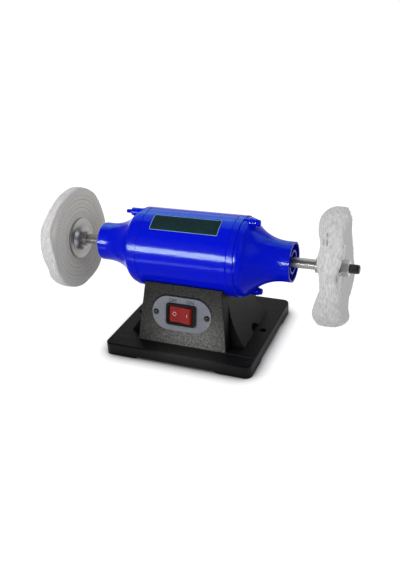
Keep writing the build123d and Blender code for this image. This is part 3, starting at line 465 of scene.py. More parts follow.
# Turned steel left satin: greyer, with coarser rings.
FLANGE_STEEL = Finish(
    "turned_satin_steel", "#A09F9D", "#92918F", Pattern.TURNED,
    grain=1.4, relief=0.003, roughness=(0.26, 0.34), blotch=12.0, metallic=0.85,
)
# Washers pressed from the same steel, made darker: painted shade for the hollows of the buffs that they
# sit in.
SHADED_WASHER_STEEL = replace(FLANGE_STEEL, name="washer_steel_painted_shade", hue="#8C8B89", shade="#7E7D7B")
# Zinc plating on steel: pale grey with a bluish mottle.
ZINC = Finish(
    "zinc_plated_steel", "#D6D6D5", "#C0C1C2", Pattern.PLATED,
    grain=2.2, relief=0.006, roughness=(0.34, 0.48), blotch=6.0, metallic=1.0,
)
# Plated sheet: the same, with lines from rolling.
ZINC_SHEET = Finish(
    "zinc_plated_sheet", "#B0B1B1", "#8E9296", Pattern.ROLLED,
    grain=1.2, relief=0.006, roughness=(0.30, 0.46), blotch=20.0, metallic=1.0,
)
# Black oxide under oil: dark, with a gloss that glints.
BLACK_OXIDE = Finish(
    "oiled_black_oxide_steel", "#0C0C0C", "#1B1B1A", Pattern.PLATED,
    grain=1.0, relief=0.006, roughness=(0.12, 0.20), blotch=5.0, specular=0.4,
)
# The same on a worn thread: greyer.
WORN_OXIDE = replace(
    BLACK_OXIDE, name="worn_black_oxide_thread", hue="#2A2A29", shade="#3E3E3D", specular=0.25
)
# Hardened and ground bearing steel: near mirror.
BEARING_STEEL = Finish(
    "ground_bearing_steel", "#C8C8CA", "#B0B0B4", Pattern.TURNED,
    grain=0.6, relief=0.001, roughness=(0.08, 0.16), blotch=8.0, metallic=1.0,
)
# Stacked electrical sheet: dull steel with lines at the sheets' edges.
LAMINATIONS = Finish(
    "stacked_electrical_steel", "#6E6E70", "#4C4C4F", Pattern.STACKED,
    grain=0.8, relief=0.05, roughness=(0.40, 0.60), blotch=20.0, metallic=1.0,
)
# Varnished copper wire in bundles: orange-brown and glossy.
COPPER_WIRE = Finish(
    "varnished_copper_wire", "#A6592B", "#7A3A18", Pattern.TURNED,
    grain=1.2, relief=0.15, roughness=(0.22, 0.40), blotch=8.0, metallic=1.0,
)
# Pressure-cast aluminium: pale, with a fine grain.
CAST_ALUMINIUM = Finish(
    "pressure_cast_aluminium", "#C9CACB", "#AEB0B2", Pattern.SAND_CAST,
    grain=1.4, relief=0.03, roughness=(0.36, 0.54), blotch=10.0, metallic=1.0,
)
# Drawn aluminium can: bright, with draw lines along it.
DRAWN_CAN = Finish(
    "drawn_aluminium_can", "#CDCECF", "#B2B4B7", Pattern.ROLLED,
    grain=0.9, relief=0.004, roughness=(0.24, 0.36), blotch=18.0, metallic=1.0,
)
# Satin grey paint on pressed plate: a fine spray texture.
GREY_PAINT = Finish(
    "satin_grey_paint", "#676A71", "#74777F", Pattern.SPRAYED,
    grain=1.6, relief=0.012, roughness=(0.26, 0.36), blotch=22.0, specular=0.3,
)
# Moulded black ABS: a fine spark-eroded texture.
BLACK_ABS = Finish(
    "moulded_black_abs", "#070708", "#101011", Pattern.MOULDED,
    grain=0.8, relief=0.012, roughness=(0.26, 0.38), blotch=9.0, specular=0.2,
)
# Moulded red polycarbonate: semi-gloss.
RED_PLASTIC = Finish(
    "moulded_red_polycarbonate", "#86201F", "#761A1B", Pattern.MOULDED,
    grain=1.8, relief=0.004, roughness=(0.24, 0.34), blotch=10.0, specular=0.15,
)
# Tinned brass blades: soft gold.
BRASS = Finish(
    "tinned_brass", "#CDB27A", "#B09A68", Pattern.ROLLED,
    grain=0.8, relief=0.004, roughness=(0.22, 0.34), blotch=6.0, metallic=1.0,
)
# Moulded black rubber: matt.
RUBBER = Finish(
    "moulded_black_rubber", "#161616", "#222222", Pattern.MOULDED,
    grain=1.2, relief=0.03, roughness=(0.62, 0.80), blotch=10.0, specular=0.3,
)
# Bleached cotton sheeting. Its 0.5 mm threads are too fine to show, so the weave is drawn twice
# as coarse.
COTTON = Finish(
    "bleached_cotton_cloth", "#B5B5B5", "#C5C5C5", Pattern.WOVEN,
    grain=1.0, relief=0.08, roughness=(0.82, 0.95), blotch=9.0, specular=0.1, sheen=0.1,
)
# The same cloth sewn flat, made a little warmer: painted light, to offset the blue light that the motor
# throws on it.
SEWN_COTTON = replace(COTTON, name="sewn_cotton_cloth", hue="#C0BEB4", shade="#CDCBC2")
# Cut edges of cotton discs, matted by use: fibres that lie along the rim, with shade between.
MATTED_COTTON = Finish(
    "matted_cotton_edges", "#AEAEAE", "#CDCDCD", Pattern.FRAYED,
    grain=0.7, relief=0.30, roughness=(0.86, 0.97), blotch=1.4, contrast=(0.12, 0.36),
    specular=0.1, sheen=0.2,
)
# Waxed sewing thread: greyer and smoother than the cloth.
SEWING_THREAD = Finish(
    "waxed_cotton_thread", "#A6A6A3", "#8E8E8B", Pattern.ROLLED,
    grain=0.4, relief=0.05, roughness=(0.55, 0.70), blotch=5.0, specular=0.2,
)
# Printed foil on the motor: dark green-black under a thin clear film.
LABEL_FOIL = Finish(
    "printed_dark_foil", "#14292A", "#1A3133", Pattern.SPRAYED,
    grain=4.0, relief=0.002, roughness=(0.40, 0.50), blotch=25.0, specular=0.06,
)
# The foil's border: a thin line of silver film.
LABEL_LINE = Finish(
    "silver_film_line", "#7C9AB8", "#6C8CAC", Pattern.SPRAYED,
    grain=2.0, relief=0.002, roughness=(0.25, 0.35), blotch=12.0, specular=0.2,
)
# White screen ink on plastic: slightly chalky.
WHITE_INK = Finish(
    "white_screen_ink", "#EDEBE6", "#DCD9D3", Pattern.SPRAYED,
    grain=0.8, relief=0.01, roughness=(0.45, 0.60), blotch=3.0, specular=0.2,
)
# Dark screen ink on paint: faint grey-black.
DARK_INK = Finish(
    "dark_screen_ink", "#191A1E", "#222328", Pattern.SPRAYED,
    grain=0.8, relief=0.01, roughness=(0.45, 0.60), blotch=3.0, specular=0.2,
)

SLOT_FINISHES: dict[str, Finish] = {
    "casting_enamel": CASTING_ENAMEL,
    "blue_enamel": BLUE_ENAMEL,
    "blue_enamel_bolts": BELL_ENAMEL,
    "machined_steel": SHAFT_STEEL,
    "flange_steel": FLANGE_STEEL,
    "zinc_nuts": ZINC,
    "zinc_screws": ZINC,
    "black_screws": BLACK_OXIDE,
    "zinc_sheet": ZINC_SHEET,
    "bearing_steel": BEARING_STEEL,
    "lamination_steel": LAMINATIONS,
    "enamelled_copper": COPPER_WIRE,
    "cast_aluminium": CAST_ALUMINIUM,
    "capacitor_can": DRAWN_CAN,
    "grey_plate": GREY_PAINT,
    "black_plastic": BLACK_ABS,
    "red_plastic": RED_PLASTIC,
    "brass_blades": BRASS,
    "black_rubber": RUBBER,
    "buff_cotton": COTTON,
}
ENAMELLED = ("motor_shell", "left_end_bell", "right_end_bell")
BARE_STEEL = (
    "shaft", "left_inner_flange", "right_inner_flange", "left_outer_flange",
    "right_outer_flange", "left_arbor_nut", "right_arbor_nut",
)
NODE_FINISHES: dict[str, Finish] = {
    f"{side}_{piece}": finish
    for side in ("left", "right")
    for piece, finish in (("end_bell", BELL_ENAMEL), ("outer_flange", SHADED_WASHER_STEEL))
}


def dress_nodes(frame: dict[str, Any]) -> None:
    """Puts a finish on every CAD node, by its own name or its record slot.
    """
    for row in frame["record"]["subparts"]:
        finish = NODE_FINISHES.get(row["node"], SLOT_FINISHES[row["material_slot"]])
        node = frame["nodes"][row["node"]]
        for slot in node.material_slots:
            slot.material = finish.material()
        if not node.material_slots:
            node.data.materials.append(finish.material())
        LOG.info("%s is dressed in %s", row["node"], finish.name)


@dataclass
class ClothBuff:
    """A stack of cotton discs, clamped flat at its hub, with the cut edges matted into a rim.

    A place on its section is a number: 0 to 1 runs out along the motor side, 1 to 2 over the rim
    and 2 to 3 back along the outer side.
    """

    name: str
    node: str  # the CAD node that it stands for
    side: int  # 1 on the right arbor, -1 on the left
    cloth: Finish
    steps: int  # divisions round the buff
    rim: float  # radius of the rim's crown
    crown: float  # how far the rim's rounding comes down each side
    rim_width: float  # width of cloth over the rim, to which its fibres are scaled
    flutter: float  # how far the free cloth waves along the shaft
    # Where the rim's edges on the motor side and the outer side are along the shaft, at equal
    # steps round it.
    edges: Rows
    relief: Rows  # layers on the rim: height, width, waves round the shaft and seed
    fullness: float = 0.5  # power of the rim's section: 1 is an ellipse and smaller is squarer
    # Radius of the circle that the fibres' pattern is drawn on: a small share of the real one, so
    # that they run along the rim.
    strand: float = 11.0
    bore: float = 6.6
    clamped: float = 20.0  # a ring of points under the clamp flanges
    flange: float = 30.0  # radius that the clamp flanges hold flat
    hub: tuple[float, float] = (188.0, 201.0)  # the two hub faces along the shaft
    face_rings: int = 18  # rings of points on a face outside the flange
    rim_steps: int = 40  # divisions over the rim

    def face_radii(self) -> list[float]:
        """Gives the radii of the rings on each face.

        Returns:
            The radii, from the bore to the rim.
        """
        count, reach = self.face_rings, self.rim - self.crown - self.flange
        free = [self.flange + reach * i / count for i in range(1, count + 1)]
        return [self.bore, self.clamped, self.flange] + free

    def stations(self) -> list[float]:
        """Gives the rings of points along the section.

        Returns:
            Their places on the section.
        """
        reach = self.rim - self.crown - self.bore
        face = [(r - self.bore) / reach for r in self.face_radii()]
        rim = [1 + i / self.rim_steps for i in range(1, self.rim_steps)]
        return face + rim + [3 - s for s in reversed(face)]

    def edge(self, outer: bool, angle: float) -> float:
        """Gives an edge of the rim, on a smooth curve through its steps.

        Args:
            outer: Whether it is the outer edge.
            angle: Degrees round the shaft.

        Returns:
            The edge's distance along the shaft.
        """
        places = self.edges[outer]
        step = angle % 360 / 360 * len(places)
        first, part = int(step), step % 1.0
        before, start, end, after = (places[(first + i) % len(places)] for i in (-1, 0, 1, 2))
        slope = (end - before) / 2
        next_slope = (after - start) / 2
        bend = 3 * (end - start) - 2 * slope - next_slope
        turn = 2 * (start - end) + slope + next_slope
        return start + part * (slope + part * (bend + part * turn))

    def face(self, outer: bool, radius: float, angle: float) -> float:
        """Gives a face's distance along the shaft at a radius and an angle."""
        raise NotImplementedError

    def matting(self, along: float, angle: float) -> float:
        """Gives the rim's relief.

        Args:
            along: Distance along the shaft.
            angle: Degrees round it.

        Returns:
            How far the fibres stand up there.
        """
        turn = math.radians(angle)
        round_y, round_z = math.cos(turn), math.sin(turn)
        return sum(
            height * noise.noise(Vector((along / width, waves * round_y, waves * round_z + seed)))
            for height, width, waves, seed in self.relief
        )

    def spot(self, station: float, angle: float) -> tuple[float, float]:
        """Gives the surface at a place on the section and an angle.

        Args:
            station: The place on the section, from 0 to 3.
            angle: Degrees round the shaft.

        Returns:
            The distance along the shaft and the radius.
        """
        edge = self.rim - self.crown
        if 1 < station < 2:
            turn = math.pi * (station - 1.5)
            wide, high = math.sin(turn), math.cos(turn)
            low, top = self.face(False, edge, angle), self.face(True, edge, angle)
            swell = math.copysign(abs(wide) ** self.fullness, wide)
            along = (low + top) / 2 + (top - low) / 2 * swell
            # The relief fades out towards the faces.
            fuzz = self.matting(along, angle) * min(1.0, 2 * high)
            rise = self.crown * high**self.fullness
            return along + fuzz * wide / 2, edge + rise + fuzz * high
        outer = station >= 2
        part = 3 - station if outer else station
        radius = self.bore + part * (edge - self.bore)
        return self.face(outer, radius, angle), radius

    def build(self) -> None:
        """Spins the section and moves its points to their places."""
        bm = bmesh.new()
        spin_profile(bm, [(s, -1.0, 0.0) for s in self.stations()], SHAFT_AXIS, self.steps)
        for face in bm.faces:
            face.material_index = 1 if abs(face.calc_center_median().x - 1.5) < 0.51 else 0
        cloth_place = bm.verts.layers.float_vector.new(CLOTH_PLACE)
        for vert in bm.verts:
            station, round_y, round_z = vert.co
            angle = math.degrees(math.atan2(round_z, -round_y))
            along, radius = self.spot(station, angle)
            across = (station * self.rim_width + along) / 2
            vert[cloth_place] = Vector((across, round_y * self.strand, round_z * self.strand)) * MM
            vert.co = around_shaft(self.side * along, radius, angle)
        bmesh.ops.bridge_loops(bm, edges=[e for e in bm.edges if e.is_boundary])
        finishes = [self.cloth, MATTED_COTTON]
        piece = make_piece(bm, self.name, "rotor", finishes, crease=75.0)
        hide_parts(self.node)


@dataclass
class LooseBuff(ClothBuff):
    """The right-hand buff: its discs are loose and splay at the rim in folds."""

    name: str = "loose_buff_cloth"
    node: str = "loose_buff"
    side: int = 1
    cloth: Finish = COTTON
    steps: int = 320
    rim: float = 77.8
    crown: float = 5.2
    rim_width: float = 34.0
    flutter: float = 0.5
    edges: Rows = (
        (
            193.0, 192.0, 187.5, 188.0, 182.5, 180.0, 182.0, 186.0, 188.0, 188.5, 188.0, 187.0,
            186.5, 186.5, 187.0, 187.5, 187.0, 186.5, 185.5, 184.5, 183.0, 184.0, 182.5, 186.0,
        ),
        (
            219.5, 212.0, 216.5, 217.0, 213.0, 214.5, 213.0, 206.5, 204.0, 203.5, 204.0, 203.0,
            204.5, 207.0, 210.5, 210.5, 209.0, 212.0, 217.0, 213.5, 206.5, 212.0, 218.0, 217.0,
        ),
    )
    relief: Rows = ((0.3, 10.0, 3.0, 0.0), (0.12, 2.4, 6.0, 40.0), (0.1, 1.5, 12.0, 80.0))
    hollow: float = 2.2  # power of the outer side's dish: 1 is a cone, more is flatter at the hub
    # Open places in the matted rim: where along the shaft and round it, how far each reaches each
    # way, in degrees, and how deep it is.
    slits: Rows = (
        (195.6, 51.8, 8.0, 3.4), (191.8, 49.0, 4.5, 2.4), (197.1, 75.0, 4.0, 1.7),
        (202.3, 70.0, 4.0, 1.6), (194.4, 72.0, 4.0, 1.7), (203.0, 28.0, 5.0, 1.3),
        (197.0, -16.0, 6.0, 1.3), (203.5, -24.0, 5.0, 1.4), (195.0, 118.0, 7.0, 1.8),
        (201.0, 160.0, 8.0, 1.6), (192.0, -110.0, 8.0, 1.8),
    )
    slit_width: float = 0.9
    slit_lean: float = 0.22  # how far a slit runs along the shaft in a degree
    # Long threads: place on the section, angle, length along the rim (down is negative), lift off
    # it and drift along the shaft.
    hanging: Rows = (
        (1.93, 18.5, 3.6, 1.0, 5.5), (1.93, 15.0, -9.0, 1.2, 4.0), (1.90, 10.0, -16.0, 1.5, 5.0),
        (1.94, 6.0, -15.0, 1.0, 3.0), (1.88, 4.0, -12.0, 1.8, 4.5), (1.90, 38.0, -7.0, 1.5, 3.5),
        (1.86, 43.0, 6.0, 1.8, 3.0),
    )
    short_count: int = 220
    hanging_radius: float = 0.42
    short_radius: float = 0.18
    thread_bends: int = 4
    thread_root: float = 0.4  # how far below the surface a thread starts

    def face(self, outer: bool, radius: float, angle: float) -> float:
        """Gives a face's place: flat in the clamp, then splayed out to its edge of the rim.

        Args:
            outer: Whether it is the outer face.
            radius: Distance from the shaft's axis.
            angle: Degrees round the shaft.

        Returns:
            The face's distance along the shaft.
        """
        reach = (radius - self.flange) / (self.rim - self.crown - self.flange)
        splay = min(max(reach, 0.0), 1.0) ** (self.hollow if outer else 1.0)
        held, free = self.hub[outer], self.edge(outer, angle)
        waves, seed = 3.0 + radius / 40, 5.0 + outer
        wave = self.flutter * noise_round(angle, waves, seed)
        return held + (free - held) * splay + wave * splay**2

    def matting(self, along: float, angle: float) -> float:
        """Gives the rim's relief, with a few open slits in it.

        Args:
            along: Distance along the shaft.
            angle: Degrees round it.

        Returns:
            How far the fibres stand up there.
        """
        opened = 0.0
        for slit_along, middle, reach, depth in self.slits:
            away = (angle - middle) / reach
            near = (along - slit_along + self.slit_lean * (angle - middle)) / self.slit_width
            opened += depth * math.exp(-(away**4) - near**2)
        return super().matting(along, angle) - opened

    def build_threads(self) -> None:
        """Builds the loose threads that stand out of the rim."""
        draw = random.Random(11)
        curve = bpy.data.curves.new("frayed_threads", "CURVE")
        curve.dimensions = "3D"
        # A point's radius is then in millimetres.
        curve.bevel_depth = 1.0 * MM
        curve.bevel_resolution = 0
        # The same rows as for the long threads, with the thread's radius.
        threads = [(*row, self.hanging_radius) for row in self.hanging]
        threads += [
            (
                draw.choice((draw.uniform(1.15, 1.9), draw.uniform(1.8, 1.95))),
                draw.uniform(-180, 180),
                draw.uniform(-6.0, 6.0),
                draw.uniform(0.3, 1.6),
                draw.uniform(-1.6, 1.6),
                self.short_radius,
            )
            for _ in range(self.short_count)
        ]
        for station, angle, length, lift, drift, thickness in threads:
            along, radius = self.spot(station, angle)
            # A thread lifts off and sinks again as it runs on, and drifts more towards its end.
            spline = curve.splines.new("NURBS")
            spline.points.add(self.thread_bends)
            for i, point in enumerate(spline.points):
                part = i / self.thread_bends
                spot = around_shaft(
                    along + drift * part**1.5,
                    radius - self.thread_root + lift * math.sin(part * 2.4),
                    angle + math.degrees(length * part / radius),
                )
                point.co = (*spot, 1.0)
                point.radius = thickness
            spline.order_u = 3
            spline.use_endpoint_u = True
            spline.resolution_u = 2
        bm = bmesh.new()
        add_curve(bm, curve)
        make_piece(bm, "loose_buff_threads", "rotor", [self.cloth])


@dataclass
class StitchedBuff(ClothBuff):
    """The left-hand buff: rings of stitching hold its discs flat, and only its rim flutters."""

    name: str = "stitched_buff_cloth"
    node: str = "stitched_buff"
    side: int = -1
    cloth: Finish = SEWN_COTTON
    steps: int = 240
    rim: float = 75.0
    crown: float = 3.0
    rim_width: float = 20.0
    flutter: float = 0.4
    edges: Rows = (
        (
            183.5, 187.0, 190.5, 188.5, 187.5, 185.5, 185.5, 186.5, 187.5, 186.5, 188.0, 188.5,
            187.5, 187.0, 188.0, 187.5, 186.5, 187.5, 188.0, 187.0, 187.5, 187.0, 185.0, 184.0,
        ),
        (
            204.5, 206.0, 207.0, 203.0, 201.0, 200.0, 199.5, 200.5, 202.0, 201.0, 203.0, 202.0,
            201.0, 202.0, 203.0, 201.5, 200.5, 202.0, 203.0, 202.5, 203.5, 204.5, 205.0, 201.5,
        ),
    )
    relief: Rows = ((0.3, 8.0, 4.0, 200.0), (0.08, 1.8, 6.0, 240.0))
    swell: float = 1.2  # how far each face stands proud of its clamped hub
    swell_gap: float = 2.0  # how far outside the flange the swell begins
    swell_width: float = 9.0  # width over which it rises
    quilt: float = 0.1  # height of the faces' waves
    rows: Rows = ((39.0, 0.2), (45.0, 1.0), (51.0, 0.2), (57.0, 1.1), (63.0, 0.2))  # radius, depth
    groove: float = 0.9  # half width of a stitched ring
    loose_width: float = 8.0  # width outside the last ring over which the cloth comes free
    stitch: tuple[float, float] = (2.6, 3.2)  # length of a stitch and of the gap after it
    thread: tuple[float, float] = (0.26, 0.4)  # half a stitch's size out of the face and across
    stitch_rise: float = 0.1  # how far a stitch's middle stands out of the face

    def face_radii(self) -> list[float]:
        """Gives the radii of the rings on each face, closer where the stitching is.

        Returns:
            The radii, from the bore to the rim.
        """
        inside = [self.bore, self.clamped, self.flange, 33.0, 35.5]
        sewn = [37.6 + 0.7 * i for i in range(39)]
        return inside + sewn + [65.5, 67.0, 68.5, 70.0, self.rim - self.crown]

    def stitch_count(self, row: float) -> int:
        """Gives how many stitches a ring has."""
        return round(math.tau * row / sum(self.stitch))

    def face(self, outer: bool, radius: float, angle: float) -> float:
        """Gives a face's place: pulled in along the stitching, fluttering at the outer rim.

        Args:
            outer: Whether it is the outer face.
            radius: Distance from the shaft's axis.
            angle: Degrees round the shaft.

        Returns:
            The face's distance along the shaft.
        """
        turn = math.radians(angle)
        rise = min(max((radius - self.flange - self.swell_gap) / self.swell_width, 0.0), 1.0)
        proud = self.swell * rise * rise * (3 - 2 * rise)
        for row, depth in self.rows:
            near = math.exp(-(((radius - row) / self.groove) ** 2))
            # The groove is deepest between stitches, where the thread goes in.
            proud -= depth * near * (0.7 + 0.3 * math.cos(turn * self.stitch_count(row)))
        loose = min(max((radius - self.rows[-1][0]) / self.loose_width, 0.0), 1.0) ** 2
        proud += math.sin(turn * 3 + radius) * self.quilt * rise
        held = self.hub[1] + proud if outer else self.hub[0] - proud
        waves, seed = 3.4, 300.0 + outer
        free = self.edge(outer, angle) + self.flutter * noise_round(angle, waves, seed)
        return held + (free - held) * loose

    def build_stitching(self) -> None:
        """Builds the stitches on both faces."""
        bm = bmesh.new()
        out, across = self.thread
        size = Matrix.Diagonal((out * MM, across * MM, self.stitch[0] / 2 * MM, 1.0))
        for outer, rise in ((False, -self.stitch_rise), (True, self.stitch_rise)):
            for row, _ in self.rows:
                count = self.stitch_count(row)
                angle = 180 / count
                along = self.face(outer, row, angle) + rise
                place = Matrix.Translation(around_shaft(self.side * along, row, angle))
                turn = Matrix.Rotation(-math.radians(angle), 4, "X")
                ball = bmesh.ops.create_uvsphere(bm, u_segments=6, v_segments=5, radius=1.0)["verts"]
                bmesh.ops.transform(bm, matrix=place @ turn @ size, verts=ball)
                bmesh.ops.spin(
                    bm, geom=list({f for v in ball for f in v.link_faces}), cent=SHAFT_CENTRE,
                    axis=SHAFT_AXIS, angle=math.tau * (count - 1) / count, steps=count - 1,
                    use_duplicate=True,
                )
        make_piece(bm, "stitched_buff_stitching", "rotor", [SEWING_THREAD])


@dataclass
class LabelPlate:
    """The bare foil plate on the upper front of the motor, with a thin border line."""

    left: float = -50.0
    right: float = 49.0
    low: float = 50.0  # lower edge round the shaft, in degrees
    high: float = 77.0  # upper edge round the shaft, in degrees
    steps: int = 14  # divisions round the shaft
    radius: float = 56.05  # just over the motor shell's
    thickness: float = 0.35
    corner: float = 2.0  # radius of its corners
    line: float = 0.8  # width of the border line

    def build(self) -> None:
        """Builds the plate on the motor's curve."""
        bm = bmesh.new()
        edge = [around_shaft(x, self.radius, self.low) for x in (self.left, self.right)]
        angle = -math.radians(self.high - self.low)
        spin_profile(bm, edge, SHAFT_AXIS, self.steps, SHAFT_CENTRE, angle)
        bmesh.ops.bevel(
            bm, geom=[v for v in bm.verts if len(v.link_edges) == 2], offset=self.corner * MM,
            segments=4, profile=0.5, affect="VERTICES", material=-1,
        )
        border = bmesh.ops.inset_region(
            bm, faces=bm.faces[:], thickness=self.line * MM, use_boundary=True, use_even_offset=True
        )["faces"]
        for face in border:
            face.material_index = 1
        finishes = [LABEL_FOIL, LABEL_LINE]
        piece = make_piece(bm, "motor_label_plate", "frame", finishes)
        outward = sum(p.normal.dot(p.center - SHAFT_CENTRE) for p in piece.data.polygons)
        wall = piece.modifiers.new("foil", "SOLIDIFY")
        wall.thickness = self.thickness * MM
        wall.offset = 1.0 if outward > 0 else -1.0


@dataclass
class ScrewThread:
    """A turned thread that shows on a plain CAD rod."""

    name: str
    start: float  # where it begins along the shaft
    end: float
    root: float  # radius at the bottom of the thread
    depth: float
    pitch: float
    finish: Finish
    centre: tuple[float, float] = (0.0, 0.0)  # the rod's distance from the shaft and its angle
    body: str = "rotor"
    slot: str = "machined_steel"
    steps: int = 20  # divisions of one turn
    # Section of one turn, in shares of the pitch and of the depth.
    profile: Rows = ((0.0, 0.0), (0.30, 1.0), (0.45, 1.0), (0.80, 0.0), (1.0, 0.0))

    def build(self) -> None:
        """Builds the thread by winding its profile along the rod."""
        bm = bmesh.new()
        middle = around_shaft(0.0, *self.centre)
        turns = math.floor((self.end - self.start) / self.pitch) - 1
        places = [(self.start + x * self.pitch, self.root + z * self.depth) for x, z in self.profile]
        spin_profile(
            bm, [middle + Vector((x * MM, 0.0, z * MM)) for x, z in places], SHAFT_AXIS,
            self.steps * turns, middle, math.tau * turns,
            dvec=SHAFT_AXIS * (self.pitch * MM / self.steps),
        )
        bmesh.ops.remove_doubles(bm, verts=bm.verts[:], dist=WELD)
        make_piece(bm, self.name, self.body, [self.finish], crease=25.0)


@dataclass
class SwitchFace:
    """The printed marks and the screws of the switch in the leaning front panel."""

    origin: tuple[float, float, float] = (0.0, -59.959, 62.08)  # its middle on the panel
    plate: float = 2.0  # thickness of the switch plate
    clear: float = 50.0  # distance out of the panel that clears the whole switch
    mark_x: tuple[float, float] = (-9.0, 10.6)  # the O and the I across the rocker
    mark_rise: float = 0.8  # how far they are above the middle
    mark_ink: tuple[float, float] = (-0.05, 0.12)  # bottom and top of their ink over the rocker
    ring: tuple[float, float] = (2.3, 2.65)  # inner and outer radius of the O
    bar: tuple[float, float] = (0.5, 4.8)  # width and height of the I
    bar_round: float = 0.2  # rounding of its corners
    words: tuple[tuple[str, float], ...] = (("OFF", -12.5), ("ON", 13.0))  # places across the plate
    word_rise: float = 18.6  # how far they are above the middle
    word_height: float = 4.8
    word_ink: tuple[float, float] = (0.05, 0.04)  # half its thickness, its middle over the plate
    capital: float = 0.7  # a capital's height as a share of the font's size
    screw_spacing: float = 76.0
    screw_turns: tuple[float, float] = (20.0, 62.0)  # of the left and the right recess, in degrees
    head_radius: float = 4.1
    head_height: float = 2.3
    # A head's section, in shares of its radius and height.
    dome: Rows = (
        (0.0, 1.0), (0.35, 0.97), (0.65, 0.85), (0.87, 0.60), (0.98, 0.28), (1.0, 0.0), (0.0, 0.0),
    )
    recess: tuple[float, float, float] = (5.084, 0.95, 2.4)  # size of a blade that cuts the cross

    def frame(self) -> Matrix:
        """Gives the panel's own axes: x across, y up the slope and z out, in metres."""
        axes = Matrix((SHAFT_AXIS, PANEL_UP, PANEL_OUT)).transposed().to_4x4()
        return Matrix.Translation(Vector(self.origin) * MM) @ axes

    def lay_on(self, bm: BMesh, node: Object) -> None:
        """Drops the points of flat marks on the surface of a node.

        Args:
            bm: The marks in the panel's own axes, with z as their height over the surface.
            node: The CAD node that carries them.
        """
        mesh = node.data
        tree = BVHTree.FromPolygons(
            [v.co for v in mesh.vertices], [list(p.vertices) for p in mesh.polygons]
        )
        frame = self.frame()
        inward = -(frame.to_3x3() @ UP)
        for vert in bm.verts:
            begin = frame @ Vector((vert.co.x, vert.co.y, self.clear * MM))
            spot = tree.ray_cast(begin, inward)[0]
            vert.co = spot - inward * vert.co.z

    def build_marks(self, rocker: Object) -> None:
        """Builds the O and I marks.

        Args:
            rocker: The CAD rocker that carries them.
        """
        bm = bmesh.new()
        (inner, outer), (low, high) = self.ring, self.mark_ink
        section = ((inner, low), (outer, low), (outer, high), (inner, high))
        spin_profile(bm, [(r * MM, 0.0, z * MM) for r, z in section], UP, 28, closed=True)
        left, right = self.mark_x
        shift = Matrix.Translation((left * MM, self.mark_rise * MM, 0.0))
        bmesh.ops.transform(bm, matrix=shift, verts=bm.verts[:])
        bar = bmesh.ops.create_cube(bm, size=1.0)["verts"]
        size = Matrix.Diagonal((self.bar[0] * MM, self.bar[1] * MM, (high - low) * MM, 1.0))
        shift = Matrix.Translation((right * MM, self.mark_rise * MM, (high + low) / 2 * MM))
        bmesh.ops.transform(bm, matrix=shift @ size, verts=bar)
        sides = {e for v in bar for e in v.link_edges}
        upright = [e for e in sides if e.verts[0].co.z * e.verts[1].co.z < 0]
        bmesh.ops.bevel(
            bm, geom=upright, offset=self.bar_round * MM, segments=2, profile=0.5, affect="EDGES",
            material=-1,
        )
        self.lay_on(bm, rocker)
        make_piece(bm, "rocker_marks", "rocker", [WHITE_INK])

    def build_words(self) -> None:
        """Builds the two printed words on the plate."""
        bm = bmesh.new()
        half, middle = self.word_ink
        for text, x in self.words:
            curve = bpy.data.curves.new(text, "FONT")
            curve.body = text
            curve.size = self.word_height * MM / self.capital
            curve.extrude = half * MM
            curve.align_x, curve.align_y = "CENTER", "CENTER"
            place = Matrix.Translation((x * MM, self.word_rise * MM, (self.plate + middle) * MM))
            add_curve(bm, curve, self.frame() @ place)
        bmesh.ops.remove_doubles(bm, verts=bm.verts[:], dist=FINE_WELD)
        make_piece(bm, "switch_plate_words", "frame", [DARK_INK])

    def screw_head(self) -> Mesh:
        """Makes one pan head with a cross recess.

        Returns:
            The head, standing on the origin.
        """
        bm = bmesh.new()
        high, wide = self.head_height, self.head_radius
        spin_profile(bm, [(r * wide * MM, 0.0, z * high * MM) for r, z in self.dome], UP, 32)
        bmesh.ops.remove_doubles(bm, verts=bm.verts[:], dist=WELD)
        bmesh.ops.recalc_face_normals(bm, faces=bm.faces[:])
        tool = bmesh.new()
        size = Matrix.Diagonal((*(side * MM for side in self.recess), 1.0))
        for turn in (0.0, math.pi / 2):
            blade = bmesh.ops.create_cube(tool, size=1.0)["verts"]
            place = Matrix.Translation(UP * (high * MM)) @ Matrix.Rotation(turn, 4, "Z")
            bmesh.ops.transform(tool, matrix=place @ size, verts=blade)
        blank = to_scene("screw_blank", to_mesh(bm, "screw_blank"))
        cutter = to_scene("recess_cutter", to_mesh(tool, "recess_cutter"))
        cut = blank.modifiers.new("recess", "BOOLEAN")
        cut.operation, cut.object, cut.solver = "DIFFERENCE", cutter, "EXACT"
        cut.use_self = True
        bpy.context.view_layer.update()
        shaped = blank.evaluated_get(bpy.context.evaluated_depsgraph_get())
        head = bpy.data.meshes.new_from_object(shaped)
        for helper in (blank, cutter):
            mesh = helper.data
            bpy.data.objects.remove(helper)
            bpy.data.meshes.remove(mesh)
        return head

    def build_screws(self) -> Object:
        """Builds the plate's two screws.

        Returns:
            The piece that stands for the CAD screws.
        """
        bm = bmesh.new()
        head = self.screw_head()
        for side, turn in zip((-1, 1), self.screw_turns):
            copy = head.copy()
            place = Matrix.Translation((side * self.screw_spacing / 2 * MM, 0.0, self.plate * MM))
            copy.transform(self.frame() @ place @ Matrix.Rotation(math.radians(turn), 4, "Z"))
            bm.from_mesh(copy)
            bpy.data.meshes.remove(copy)
        bpy.data.meshes.remove(head)
        piece = make_piece(bm, "switch_screws", "frame", [BLACK_OXIDE])
        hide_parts("switch_plate_screws")
        return piece


